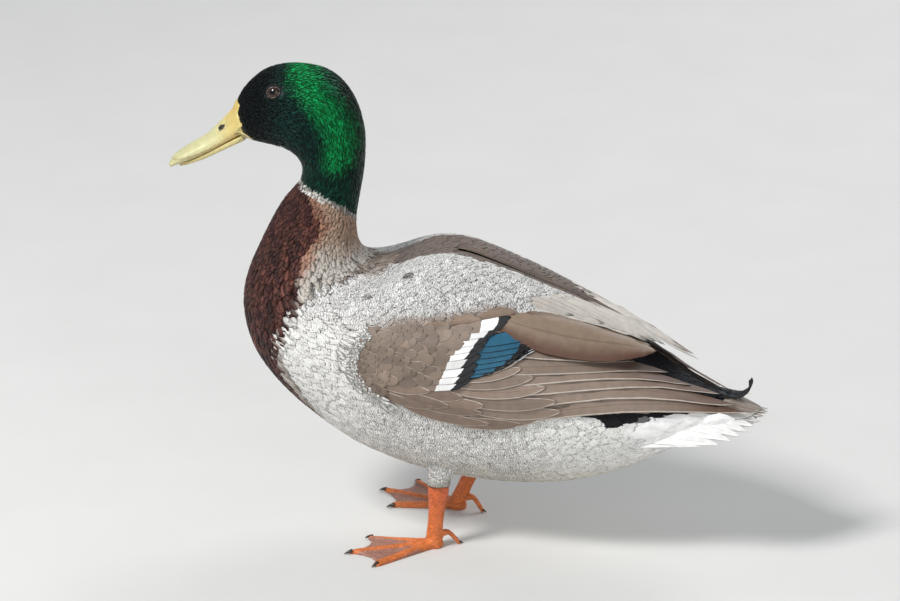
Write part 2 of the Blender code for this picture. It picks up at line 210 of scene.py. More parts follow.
def mottle(points, size, seed=0, waves=5, strength=1.6):
    """A soft random pattern over space, mostly from -1 to 1, with blotches of about that size."""
    turn = np.random.default_rng(seed)
    total = np.zeros(points.shape[:-1])
    for _ in range(waves):
        wave = unit(turn.normal(size=3)) * (2 * math.pi / size) * turn.uniform(0.6, 1.5)
        total += np.sin(points @ wave + turn.uniform(0, 7))
    return total / waves * strength


# ---------------------------------------------------------------- surfaces read off the solids

def tree_of(*names):
    """The solids of some nodes as one tree to cast rays at."""
    points, faces = [], []
    for name in names:
        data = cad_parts[name].data
        first = len(points)
        points += [vertex.co / MM for vertex in data.vertices]
        faces += [[first + k for k in face.vertices] for face in data.polygons]
    return BVHTree.FromPolygons(points, faces)


def reach_from_inside(tree, origin, direction):
    """How far the solids reach from a point inside them, across the thin cuts between them."""
    reach, inside = 0.0, True
    while True:
        hit = tree.ray_cast(origin + direction * (reach + PAST), direction, FAR if inside else CUT)
        if hit[0] is None:
            return reach
        reach += hit[3] + PAST
        inside = not inside


def reach_from_outside(tree, origin, direction):
    """How far the solids reach from a point, with a ray that comes from outside."""
    hit = tree.ray_cast(origin + direction * FAR, -direction, FAR)
    return np.nan if hit[0] is None else FAR - hit[3]


def rib_axes(spine, places, angles, side=1):
    """The middle of each rib, and the direction of each ray from it."""
    rows = np.array([[(0.0, *point) if len(point) == 2 else point for point in row] for row in spine])
    ends = smooth_rows(rows, places)
    middle = ends.mean(axis=1)
    up = unit(ends[:, 0] - ends[:, 1])
    turn = np.radians(angles)
    sideways = np.array([side, 0.0, 0.0])
    return middle, np.cos(turn)[None, :, None] * up[:, None] + np.sin(turn)[None, :, None] * sideways


def reaches(tree, cast, middle, rays):
    """The reach along every ray of every rib."""
    return np.array([[cast(tree, Vector(m), Vector(ray)) for ray in row] for m, row in zip(middle, rays)])


class Surface:
    """A smooth surface on a grid of points, by place and angle. closed means once all round."""

    def __init__(self, points, places, angles, side=1, closed=False):
        self.points, self.places, self.angles, self.closed = points, places, angles, closed
        self.steps = places[1] - places[0], angles[1] - angles[0]
        along = np.gradient(points, axis=0) / self.steps[0]
        if closed:
            across = (np.roll(points, -1, 1) - np.roll(points, 1, 1)) / (2 * self.steps[1])
        else:
            across = np.gradient(points, axis=1) / self.steps[1]
        self.normals = unit(np.cross(across, along)) * side
        # Millimetres to one place and to one degree, at each point.
        self.speed = pairs(np.linalg.norm(along, axis=-1), np.linalg.norm(across, axis=-1))

    def read(self, grid, where):
        """A grid's values at places and angles between its own."""
        rows, columns = grid.shape[:2]
        x = np.clip((where[..., 0] - self.places[0]) / self.steps[0], 0, rows - 1.001)
        y = (where[..., 1] - self.angles[0]) / self.steps[1]
        y = y % columns if self.closed else np.clip(y, 0, columns - 1.001)
        i, j = x.astype(int), np.minimum(y.astype(int), columns - 1)
        k = (j + 1) % columns
        fx, fy = (x - i)[..., None], (y - j)[..., None]
        here = (1 - fy) * grid[i, j] + fy * grid[i, k]
        after = (1 - fy) * grid[i + 1, j] + fy * grid[i + 1, k]
        return (1 - fx) * here + fx * after

    def at(self, where, lift=0.0):
        """Points on the surface, or off it by a lift."""
        out = unit(self.read(self.normals, where))
        return self.read(self.points, where) + out * np.asarray(lift)[..., None]


EYES = {name: sum(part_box("eye_" + name), Vector()) / 2 / MM for name in SIDES}
EYE_RADIUS = 4.9
EYE_DEPTH = 3.1     # from the head's surface to the eye's centre
EYE_OUT = (1, 0.7, 0.7)          # the eyes look out more squarely than the head's surface there
EYE_AHEAD = (0.0, -0.93, -0.36)  # along the eye's opening, towards the bill
LIDS = (5.3, 4.2)   # half the length and height of what the feathers leave free round the eye
LIDS_DEPTH = 8.0    # and how near to the head's surface
HEAD_PLACES = 2.78  # the head alone, from the face
BODY_START = 0.04   # the first place on the body's surface
FILLED_FROM = 2.5   # the dips between the solids are filled in from here on
NEAR_EYE = 7.5      # nearer than this to an eye's middle the head is rounded over
RUN_ON = 0.6        # places that the rump's feathers run on past the body's end
RUN_ON_WAY = np.array([0.0, 24.0, -3.0])
RUN_ON_TAPER = 0.6  # the share of its width that the rump loses there
LAYER_START = 5.0   # the first place of a layer of long feathers
LAYER_ANGLES = 136  # every layer ends before this angle


def body_surface():
    """The outside of the head, neck, trunk and rump, all round, smooth where the eyes are."""
    places = np.arange(BODY_START, TAIL_ROOT - 0.02, PLACE_STEP)
    angles = np.arange(0, 360, ANGLE_STEP)
    middle, rays = rib_axes(SPINE, places, angles)
    tree = tree_of("head", "neck", "trunk", "rump", "eye_l", "eye_r")
    radius = reaches(tree, reach_from_inside, middle, rays)
    radius = np.where(places[:, None] > FILLED_FROM, filled(radius, 8), radius)
    near_eye = np.zeros(radius.shape, bool)
    for eye in EYES.values():
        away = middle[:, None] + rays * radius[..., None] - np.array(eye)
        near_eye |= np.linalg.norm(away, axis=-1) < NEAR_EYE
    for _ in range(400):
        radius = np.where(near_eye, blurred(radius, 1, wrap=True), radius)
    radius = blurred(radius, 6, wrap=True)
    points = middle[:, None] + rays * radius[..., None]
    end, centre = points[-1], points[-1].mean(axis=0)
    beyond = np.arange(PLACE_STEP, RUN_ON, PLACE_STEP)[:, None, None] / RUN_ON
    run_on = centre + (end - centre) * (1 - RUN_ON_TAPER * beyond) + beyond * RUN_ON_WAY
    places = places[0] + PLACE_STEP * np.arange(len(points) + len(run_on))
    return Surface(np.concatenate([points, run_on]), places, angles, closed=True)


class Layer(Surface):
    """The outside of some layers of long feathers on one side, carried on past their edges. Between
    the two places of rise it comes up from the body to its own height."""

    def __init__(self, names, side, body, rise=None):
        places = np.arange(LAYER_START, LAST_PLACE, PLACE_STEP)
        angles = np.arange(0, LAYER_ANGLES, ANGLE_STEP)
        middle, rays = rib_axes(SPINE, places, angles, side)
        radius = reaches(tree_of(*names), reach_from_outside, middle, rays)
        self.held = np.isfinite(radius)
        under = np.linalg.norm(body.at(chart_of(places, side * angles)) - middle[:, None], axis=-1)
        height = radius - under
        self.held &= np.abs(np.nan_to_num(height, nan=99.0)) < THICKEST
        full = [i for i in range(len(places)) if self.held[i].any()]
        for i in full:
            height[i] = np.interp(angles, angles[self.held[i]], height[i][self.held[i]])
        for j in range(len(angles)):
            height[:, j] = np.interp(places, places[full], height[full, j])
        if rise:
            height *= ease(places, *rise)[:, None]
        radius = blurred(under + height, 3, wrap=False)
        super().__init__(middle[:, None] + rays * radius[..., None], places, angles, side)

    def holds(self, place, angle, margin):
        """Whether the layer covers a place, at least margin steps inside its edge."""
        held = self.held
        for _ in range(margin):
            held = np.all([held, *(np.roll(held, way, axis) for axis in (0, 1) for way in (1, -1))], axis=0)
        i = np.round((place - self.places[0]) / self.steps[0]).astype(int)
        j = np.round(angle / self.steps[1]).astype(int)
        on_chart = (place > self.places[0]) & (j < len(self.angles))
        return held[np.clip(i, 0, len(self.places) - 1), np.clip(j, 0, len(self.angles) - 1)] & on_chart


def eye_axes(name, side):
    """Where the eye is on the head's surface, and three directions there at right angles: out of
    the head, forward along it, and up."""
    grid = chart_of(BODY.places[BODY.places < HEAD_PLACES], BODY.angles).reshape(-1, 2)
    spots = BODY.at(grid)
    nearest = np.linalg.norm(spots - np.array(EYES[name]), axis=1).argmin()
    out = unit(BODY.read(BODY.normals, grid[nearest][None]))[0]
    out = unit(out * EYE_OUT)
    ahead = np.array(EYE_AHEAD)
    ahead = unit(ahead - out * (ahead @ out))
    return spots[nearest], out, ahead, np.cross(ahead, out) * side


BODY = body_surface()
EYE_AXES = {name: eye_axes(name, side) for name, side in SIDES.items()}
WING, TERTIALS, SCAPULARS = {}, {}, {}
for side_name, side_way in SIDES.items():
    WING[side_name] = Layer(["wing_" + side_name, "primaries_" + side_name], side_way, BODY)
    TERTIALS[side_name] = Layer(["tertials_" + side_name], side_way, BODY)
    SCAPULARS[side_name] = Layer(["scapulars_" + side_name], side_way, BODY, rise=(6.0, 6.85))


# ---------------------------------------------------------------- meshes and pieces

def facing_out(points, triangles):
    """The triangles turned, if need be, so that the solid they close faces out."""
    corners = points[triangles] - points.mean(axis=0)
    volume = np.einsum("ij,ij->i", corners[:, 0], np.cross(corners[:, 1], corners[:, 2])).sum()
    return triangles if volume > 0 else triangles[:, ::-1]


def make_mesh(name, points, faces):
    """A smooth-shaded object from points in mm and faces that all have the same number of corners."""
    data = bpy.data.meshes.new(name)
    sides = faces.shape[1]
    data.vertices.add(len(points))
    data.vertices.foreach_set("co", (points * MM).astype(np.float32).ravel())
    data.loops.add(faces.size)
    data.loops.foreach_set("vertex_index", faces.astype(np.int32).ravel())
    data.polygons.add(len(faces))
    data.polygons.foreach_set("loop_start", np.arange(0, faces.size, sides, dtype=np.int32))
    data.polygons.foreach_set("use_smooth", np.ones(len(faces), bool))
    data.update(calc_edges=True)
    data.validate()
    obj = bpy.data.objects.new(name, data)
    bpy.context.scene.collection.objects.link(obj)
    return obj


def grid_mesh(points, caps=True):
    """Points and faces of a grid of points that goes all round. caps close its two ends."""
    rows, columns = points.shape[:2]
    index = np.arange(rows * columns).reshape(rows, columns)
    after = np.roll(index, -1, 1)
    a, b, c, d = index[:-1], after[:-1], after[1:], index[1:]
    faces = np.stack([a, b, c, a, c, d], axis=-1).reshape(-1, 3)
    points = points.reshape(-1, 3)
    if caps:
        ends = [points[index[0]].mean(axis=0), points[index[-1]].mean(axis=0)]
        first, final = len(points), len(points) + 1
        points = np.concatenate([points, ends])
        start = np.stack([np.full(columns, first), after[0], index[0]], axis=-1)
        end = np.stack([np.full(columns, final), index[-1], after[-1]], axis=-1)
        faces = np.concatenate([faces, start, end])
    return points, facing_out(points, faces)


def ball_mesh(centre, sizes):
    """A ball of three radii."""
    polar, turn = np.moveaxis(chart_of(np.linspace(0.05, math.pi - 0.05, 12),
                                       np.linspace(0, 2 * math.pi, 16, endpoint=False)), -1, 0)
    way = np.stack([np.sin(polar) * np.cos(turn), np.sin(polar) * np.sin(turn), np.cos(polar)], axis=-1)
    return grid_mesh(np.asarray(centre) + way * sizes)


def rod_mesh(start, end, radius):
    """A straight round rod."""
    start, end = np.asarray(start, float), np.asarray(end, float)
    way = unit(end - start)
    side = unit(np.cross(way, (0.3, 0.2, 0.93)))
    up = np.cross(way, side)
    share = np.linspace(0, 1, 6)[:, None, None]
    turn = np.linspace(0, 2 * math.pi, 12, endpoint=False)[None, :, None]
    return grid_mesh(start + (end - start) * share + radius * (np.cos(turn) * side + np.sin(turn) * up))


def joined_meshes(name, meshes):
    """Several closed meshes, each a pair of points and triangles, as one object."""
    first, points, faces = 0, [], []
    for one_points, one_faces in meshes:
        points.append(one_points)
        faces.append(one_faces + first)
        first += len(one_points)
    return make_mesh(name, np.concatenate(points), np.concatenate(faces))


def applied(obj):
    """The object with its modifiers made part of its mesh."""
    graph = bpy.context.evaluated_depsgraph_get()
    data = bpy.data.meshes.new_from_object(obj.evaluated_get(graph))
    data.name = obj.name
    obj.modifiers.clear()
    obj.data = data
    return obj


def remeshed(obj, voxel, smooth):
    """The object's mesh as one even skin."""
    remesh = obj.modifiers.new("one_skin", "REMESH")
    remesh.mode = "VOXEL"
    remesh.voxel_size = voxel * MM
    remesh.use_smooth_shade = True
    obj.modifiers.new("smooth", "SMOOTH").iterations = smooth
    return applied(obj)


def points_of(obj):
    """An object's points, in mm."""
    points = np.empty(len(obj.data.vertices) * 3, np.float32)
    obj.data.vertices.foreach_get("co", points)
    return points.reshape(-1, 3).astype(float) / MM


def normals_of(obj):
    """Which way the surface faces at each of an object's points."""
    normals = np.empty(len(obj.data.vertices) * 3, np.float32)
    obj.data.vertices.foreach_get("normal", normals)
    return normals.reshape(-1, 3)


def move_points(obj, points):
    """Gives an object's points new places, in mm."""
    obj.data.vertices.foreach_set("co", (points * MM).astype(np.float32).ravel())
    obj.data.update()


def node_mesh(name):
    """A node's points, each one once, and its triangles."""
    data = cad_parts[name].data
    data.calc_loop_triangles()
    points = np.array([vertex.co / MM for vertex in data.vertices])
    faces = np.array([triangle.vertices for triangle in data.loop_triangles])
    _, kept, merged = np.unique(np.round(points, 2), axis=0, return_index=True, return_inverse=True)
    return points[kept], merged.reshape(-1)[faces]


def smoothed_copy(name, node, levels=2):
    """A rounder copy of a node."""
    obj = make_mesh(name, *node_mesh(node))
    subdivision = obj.modifiers.new("rounder", "SUBSURF")
    subdivision.levels = subdivision.render_levels = levels
    applied(obj)
    for polygon in obj.data.polygons:
        polygon.use_smooth = True
    return obj


def paint(obj, name, values):
    """Stores a number, vector or colour for each point, for the material's nodes to read."""
    data = obj.data
    values = np.asarray(values, np.float32)
    if values.ndim == 1:
        data.attributes.new(name, "FLOAT", "POINT").data.foreach_set("value", values)
    elif name == "tint":
        colours = np.concatenate([values, np.ones((len(values), 1), np.float32)], axis=1)
        data.attributes.new(name, "FLOAT_COLOR", "POINT").data.foreach_set("color", colours.ravel())
    else:
        data.attributes.new(name, "FLOAT_VECTOR", "POINT").data.foreach_set("vector", values.ravel())


def paint_grid(obj, colours):
    """Paints a mesh made by grid_mesh, whose last two points close its ends."""
    paint(obj, "tint", np.concatenate([colours.reshape(-1, 3), [colours[0, 0], colours[-1, 0]]]))


def finish_piece(obj, material, replaces=()):
    """What every piece gets: its material, its body and the nodes it stands for."""
    obj.data.materials.append(material)
    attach(obj, "root")
    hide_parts(*replaces)
    return obj


# ---------------------------------------------------------------- vanes

class Shape:
    """The outline of a vane: how far along it its cross-sections are, how wide each one is, and
    how many points lie across it. Both ends close in a point. sweep draws the rims back, and
    ragged is how unevenly its last section ends."""

    def __init__(self, sections, across, sweep=0.10, ragged=0.0):
        c = np.sin(np.linspace(-0.5, 0.5, across) * math.pi)
        ring = list(range(across)) + list(range(across - 2, 0, -1))
        self.ring = len(ring)
        along = [t - sweep * (1 - half * 0.5) * abs(c[k]) ** 2 * t for t, half in sections for k in ring]
        wide = [c[k] * half for _, half in sections for k in ring]
        under = ([0.0] * across + [1.0] * (across - 2)) * len(sections)
        signed = [c[k] for _ in sections for k in ring]
        self.along = np.array([0.0] + along + [1.0])
        self.across = np.array([0.0] + wide + [0.0])
        self.under = np.array([0.0] + under + [0.0])
        self.signed = np.array([0.0] + signed + [0.0])
        last = 1 + self.ring * (len(sections) - 1)
        self.loose = np.zeros(len(self.along))
        self.loose[last:-1] = ragged
        self.mirror = {last + k: last + ring[k] for k in range(across, self.ring)}
        self.triangles = self.join(len(sections))

    def join(self, sections):
        """The triangles between the sections, and those to the two end points."""
        triangles = []
        end = 1 + (sections - 1) * self.ring
        for k in range(self.ring):
            j = (k + 1) % self.ring
            triangles.append((0, 1 + j, 1 + k))
            for s in range(sections - 1):
                a, b = 1 + s * self.ring, 1 + (s + 1) * self.ring
                triangles += [(a + k, a + j, b + j), (a + k, b + j, b + k)]
            triangles.append((end + k, end + j, end + self.ring))
        return np.array(triangles)


PLUMULE = Shape([(0.35, 0.8), (0.78, 0.75)], 3, sweep=0.05)
CONTOUR = Shape([(0.2, 0.7), (0.55, 1.0), (0.8, 0.9), (0.94, 0.55)], 5, sweep=0.12, ragged=0.06)
LOOSE = Shape([(0.25, 0.6), (0.6, 0.9), (0.86, 0.75)], 3, sweep=0.1, ragged=0.08)
FRAYED = Shape([(0.04, 0.4), (0.15, 0.7), (0.3, 0.92), (0.45, 1.0), (0.6, 0.97), (0.75, 0.82), (0.86, 0.6),
                (0.94, 0.36)], 9, sweep=0.05, ragged=0.05)
COVERT = Shape([(0.12, 0.7), (0.4, 0.95), (0.65, 1.0), (0.82, 0.88), (0.94, 0.55)], 7, sweep=0.06)
BROAD = Shape([(0.04, 0.3), (0.1, 0.5), (0.18, 0.72), (0.28, 0.9), (0.4, 1.0), (0.52, 1.0), (0.64, 0.97),
               (0.75, 0.86), (0.85, 0.68), (0.93, 0.45), (0.98, 0.22)], 9, sweep=0.02)
POINTED = Shape([(0.03, 0.6), (0.12, 0.85), (0.25, 0.97), (0.4, 1.0), (0.55, 0.97), (0.7, 0.86), (0.82, 0.68),
                 (0.92, 0.42), (0.98, 0.2)], 7, sweep=0.02)
SQUARE = Shape([(0.05, 0.7), (0.2, 0.9), (0.4, 1.0), (0.6, 1.0), (0.8, 1.0), (0.92, 0.92), (0.985, 0.6)], 7,
               sweep=0.03)


def lay(surface, shape, root, tip, width, tint, low=-1.0, high=0.0, bow=0.0, thick=0.12, camber=0.05,
        bars=0.0, rise=0.8, tilt=0.0, slant=0.0):
    """Vanes on a surface, from their roots to their tips, both given as (place, angle). low and
    high are the heights of root and tip off the surface. bow bends a vane round the body, tilt
    raises its lower edge, and slant draws its upper edge out past its lower one."""
    root, tip = np.atleast_2d(root).astype(float), np.atleast_2d(tip).astype(float)
    count = len(root)
    width, low, high, bow, bars = (np.broadcast_to(v, count).astype(float)[:, None]
                                   for v in (width, low, high, bow, bars))
    loose = rng.uniform(-1, 1, (count, len(shape.along))) * shape.loose
    for under, over in shape.mirror.items():
        loose[:, under] = loose[:, over]
    share = shape.along + loose
    t = share * (1 - slant * shape.signed)
    line = root[:, None] + (tip - root)[:, None] * t[..., None]
    line[..., 1] += bow * 4 * t * (1 - t)
    speed = surface.read(surface.speed, line)
    way = np.repeat((tip - root)[:, None], len(shape.along), axis=1)
    way[..., 1] += bow * 4 * (1 - 2 * t)
    way = unit(way * speed)
    sideways = shape.across * width / 2
    where = line + pairs(-way[..., 1], way[..., 0]) * sideways[..., None] / speed
    height = low + (high - low) * np.clip(t, 0, 1) ** rise
    height = height + camber * width * (1 - shape.signed**2) + tilt * shape.signed - thick * shape.under
    points = surface.at(where, height)
    length = np.linalg.norm((tip - root) * surface.read(surface.speed, (root + tip) / 2), axis=-1)
    chance = rng.uniform(0, 1, count)
    vane = np.stack(np.broadcast_arrays(shape.signed[None], np.clip(share, 0, 1), chance[:, None]), axis=-1)
    barb = t * length[:, None] - 0.8 * np.abs(sideways)
    tint = np.asarray(tint, float)
    tint = np.broadcast_to(tint[:, None] if tint.ndim == 2 else tint, (count, len(shape.along), 3))
    first = np.arange(count)[:, None, None] * len(shape.along)
    triangles = facing_out(points.reshape(-1, 3), (shape.triangles[None] + first).reshape(-1, 3))
    chart = pairs(root[:, 0] / LAST_PLACE, root[:, 1] % 360 / 360)
    patch = pairs(shape.signed * 0.5, share - 0.5)
    return {
        "points": points.reshape(-1, 3),
        "triangles": triangles,
        "tint": tint.reshape(-1, 3),
        "vane": vane.reshape(-1, 3),
        "barb": barb.reshape(-1),
        "bars": np.broadcast_to(bars, t.shape).reshape(-1),
        "chart": np.broadcast_to(chart[:, None], patch.shape).reshape(-1, 2),
        "patch": patch.reshape(-1, 2),
    }


def joined(parts):
    """Several lots of vanes as one."""
    total = {key: np.concatenate([part[key] for part in parts]) for key in parts[0] if key != "triangles"}
    first, triangles = 0, []
    for part in parts:
        triangles.append(part["triangles"] + first)
        first += len(part["points"])
    total["triangles"] = np.concatenate(triangles)
    return total


def add_coat(name, parts, material, replaces=()):
    """One piece of the coat, with its bake map: each vane is a small patch at its root's place."""
    coat = joined(parts)
    patch_size, border = 0.003, 0.02
    obj = make_mesh(name, coat["points"], coat["triangles"])
    for key in ("tint", "vane", "barb", "bars"):
        paint(obj, key, coat[key])
    low, high = coat["chart"].min(axis=0), coat["chart"].max(axis=0)
    chart = border + (coat["chart"] - low) / np.maximum(high - low, 1e-6) * (1 - 2 * border)
    spots = chart + coat["patch"] * patch_size
    corners = np.empty(len(obj.data.loops), np.int32)
    obj.data.loops.foreach_get("vertex_index", corners)
    layer = obj.data.uv_layers.new(name="OFBake")
    layer.uv.foreach_set("vector", spots[corners].astype(np.float32).ravel())
    return finish_piece(obj, material, replaces)


# ---------------------------------------------------------------- materials

class Wiring:
    """A material and a short way to wire its nodes."""

    def __init__(self, name, **constants):
        self.material = bpy.data.materials.new(name)
        self.material.use_nodes = True
        self.tree = self.material.node_tree
        self.shader = self.tree.nodes["Principled BSDF"]
        for socket, value in constants.items():
            self.shader.inputs[socket.replace("_", " ")].default_value = value

    def put(self, socket, value):
        """Links a socket to another one, or sets its own value."""
        if isinstance(value, bpy.types.NodeSocket):
            self.tree.links.new(value, socket)
        else:
            socket.default_value = value

    def node(self, kind, values=None, **settings):
        """A new node, with values or links for its inputs."""
        made = self.tree.nodes.new("ShaderNode" + kind)
        for key, value in settings.items():
            setattr(made, key, value)
        for key, value in (values or {}).items():
            self.put(made.inputs[key], value)
        return made

    def math(self, operation, *values):
        return self.node("Math", dict(enumerate(values)), operation=operation).outputs[0]

    def add(self, *values):
        return self.math("ADD", *values)

    def times(self, *values):
        return self.math("MULTIPLY", *values)

    def step(self, value, low, high, bottom=0.0, top=1.0):
        """As ease, from bottom to top."""
        values = {0: value, 1: low, 2: high, 3: bottom, 4: top}
        return self.node("MapRange", values, interpolation_type="SMOOTHSTEP").outputs[0]

    def mix(self, share, one, two, way="MIX"):
        """As blend."""
        one, two = ((*v, 1.0) if isinstance(v, tuple) and len(v) == 3 else v for v in (one, two))
        return self.node("Mix", {0: share, 6: one, 7: two}, data_type="RGBA", blend_type=way).outputs[2]

    def dim(self, colour, value):
        """The colour made darker or lighter by a number."""
        grey = self.node("CombineColor", {0: value, 1: value, 2: value}).outputs[0]
        return self.mix(1.0, colour, grey, "MULTIPLY")

    def attribute(self, name, output="Fac"):
        return self.node("Attribute", attribute_name=name).outputs[output]

    def tint(self):
        """The colour painted on the mesh."""
        return self.attribute("tint", "Color")

    def blotched(self, colour, size_mm, one, two, detail=3.0, low=0.3, high=0.7):
        """The colour dimmed by one in some blotches and by two in the others."""
        return self.dim(colour, self.step(self.noise(size_mm, detail), low, high, one, two))

    def split(self, vector):
        """The three numbers of a vector."""
        return self.node("SeparateXYZ", {0: vector}).outputs

    def where(self):
        """The place on the object, in metres."""
        return self.node("TexCoord").outputs["Object"]

    def stretched(self, *scale):
        """As where, with a pattern's own shape stretched."""
        return self.node("Mapping", {"Vector": self.where(), "Scale": scale}).outputs[0]

    def noise(self, size_mm, detail=2.0, rough=0.5, where=None):
        """Soft random blotches, from 0 to 1."""
        values = {"Scale": 1 / (size_mm * MM), "Detail": detail, "Roughness": rough}
        return self.node("TexNoise", {"Vector": where or self.where(), **values}).outputs["Fac"]

    def bump(self, height, distance_mm, strength=1.0):
        """The way the surface faces, with small heights added."""
        values = {"Height": height, "Distance": distance_mm * MM, "Strength": strength}
        return self.node("Bump", values).outputs[0]

    def finish(self, colour, normal=None):
        """Gives the shader its colour and normal."""
        self.put(self.shader.inputs["Base Color"], colour)
        if normal:
            self.put(self.shader.inputs["Normal"], normal)
        return self.material


WAVE_SCALE = 0.314  # the scale at which a wave texture's waves are one unit apart
BAR_GAP = 1.15      # between the fine wavy bars
BAR_DARK = 0.7      # the share of their own colour in them
BAND_BLUR = 0.008   # half the soft edge of a band, as a share of the vane's length
BARB_GAP = 0.45     # between the barbs of a feather


def plumage(name, edge=None, edge_from=0.8, one_side=False, shaft=None, barbs=0.12, spread=0.14, bands=(),
            tip=None, lower=None, **constants):
    """Feathers: a tint from each point, wavy fine bars, barbs, and a little chance in each vane.
    edge colours the rim of each vane, or only its lower rim. bands start at a share of the vane's
    length, curved and skewed by shares of it. tip and lower colour its end and its lower half,
    softly. barbs and spread are how much barbs and chance darken and lighten a vane."""
    w = Wiring(name, **constants)
    colour = w.tint()
    across, along, chance = w.split(w.attribute("vane", "Vector"))
    away = w.math("ABSOLUTE", across)
    if lower:
        uneven = w.add(across, w.times(w.noise(6.0), 0.3))
        colour = w.mix(w.step(uneven, 0.15, 1.0), colour, lower)
    if tip:
        colour = w.mix(w.step(along, 0.5, 0.92), colour, tip)
    for start, curve, skew, band in bands:
        place = w.add(along, w.times(w.times(away, away), curve))
        place = w.add(place, w.times(across, skew))
        place = w.add(place, w.times(w.math("SUBTRACT", w.noise(1.6, 3.0), 0.5), 0.05))
        colour = w.mix(w.step(place, start - BAND_BLUR, start + BAND_BLUR), colour, band)
    if edge:
        round_tip = w.times(w.step(along, 0.86, 1.0), 0.35)
        rim = w.step(w.add(across if one_side else away, round_tip), edge_from, edge_from + 0.1)
        colour = w.mix(w.times(rim, 0.75), colour, edge)
    if shaft:
        colour = w.mix(w.step(away, 0.07, 0.02, 0.0, 0.6), colour, shaft)
    waves = {"Scale": WAVE_SCALE / (BAR_GAP * MM), "Distortion": 13.0, "Detail": 2.0, "Detail Scale": 1.4}
    wave = w.node("TexWave", {"Vector": w.where(), **waves}, bands_direction="Y").outputs["Fac"]
    line = w.times(w.step(wave, 0.6, 0.2), w.attribute("bars"))
    colour = w.mix(w.times(line, BAR_DARK), colour, FINE_BAR)
    stripe = w.math("SINE", w.times(w.attribute("barb"), 2 * math.pi / BARB_GAP))
    colour = w.dim(colour, w.add(1.0 - barbs, w.times(stripe, barbs)))
    colour = w.dim(colour, w.step(chance, 0.0, 1.0, 1.0 - spread, 1.0 + spread))
    colour = w.blotched(colour, 5.0, 0.92, 1.08)
    return w.finish(colour, w.bump(stripe, 0.04, 0.35))


# ---------------------------------------------------------------- markings of the short coat

# Lines seen from the side, as (y, z).
# The first line runs down the middle of the head's painted sheen.
SHEEN_LINE = [(-101, 288), (-92, 277), (-83, 266), (-77, 255), (-75, 246), (-77, 238)]
BREAST_EDGE = np.array([(-86, 75), (-97, 87), (-108, 108), (-109, 125), (-100.5, 144), (-94, 156), (-97, 169),
                        (-94, 181), (-86, 194), (-92, 210), (-100, 222)])
GAPS = [(37.7, -32.0, 174.4), (48.0, -54.6, 163.7)]  # two spots in the coat, painted dark as the shade in its gaps

# Where the feathers of the shoulder and flank come out over the neck and breast, by angle.
FOLD_ANGLES = [0, 46, 66, 84, 98, 112, 128, 140, 152, 180]
FOLD_PLACES = [5.74, 5.72, 5.74, 5.97, 6.24, 6.52, 6.79, 7.17, 7.54, 7.9]
# The white side of the tail's root: where it starts, by angle.
WHITE_ANGLES = [68, 75, 89, 92, 102, 108, 136, 150]
WHITE_PLACES = [10.6, 10.12, 9.76, 9.77, 9.89, 10.06, 10.24, 10.3]
# Where the feathers start behind the bill, by angle.
FEATHER_ANGLES = [0, 36, 52, 80, 104, 124, 150, 180]
FEATHER_PLACES = [0.07, 0.22, 0.1, 0.12, 0.2, 0.24, 0.2, 0.1]
RING_TOP, RING_DROP = 4.4, 1.23   # the white neck ring's place on the back, and how far ahead on the throat
RING_PLACE, RING_MORE = 14, 22    # millimetres to a place there, on the throat, and more on the back


def behind_fold(place, angle):
    """How many places a point lies behind the edge of the shoulder's and flank's feathers."""
    return place - np.interp(angle, FOLD_ANGLES, FOLD_PLACES)


def white_side(place, angle):
    """How white the side of the tail's root is."""
    start = np.interp(angle, WHITE_ANGLES, WHITE_PLACES)
    return ease(place - start, -0.02, 0.02) * ease(angle, 72, 76) * ease(angle, 152, 146)


def ring_distance(place, angle):
    """How far below the white neck ring a point lies."""
    ring = RING_TOP - RING_DROP * angle / 180
    return (place - ring) * (RING_PLACE + RING_MORE * (1 - angle / 180))


def head_colours(point, beneath):
    """Black at the face, then dark green, with a painted sheen: a bright green band down the cheek, where the
    glossy head catches the light.
    """
    flat = point[:, 1:]
    band = distance_to_line(flat, SHEEN_LINE)
    # shine is the band of painted sheen along the cheek's line.
    shine = ease(band + 1.5 * mottle(point, 6, 1) + 1.0 * mottle(point, 2.5, 8), 14, 1)
    colour = blend(ease(flat[:, 0], -126, -104), FACE_BLACK, HEAD_TEAL)
    colour = blend(ease(flat[:, 0] + 0.25 * (flat[:, 1] - 250), -76, -66), colour, NAPE_DARK)
    colour = blend(0.5 * ease(-beneath, 24, 6), colour, CHIN_GREEN)
    return blend(shine, colour, EMERALD_SHEEN)


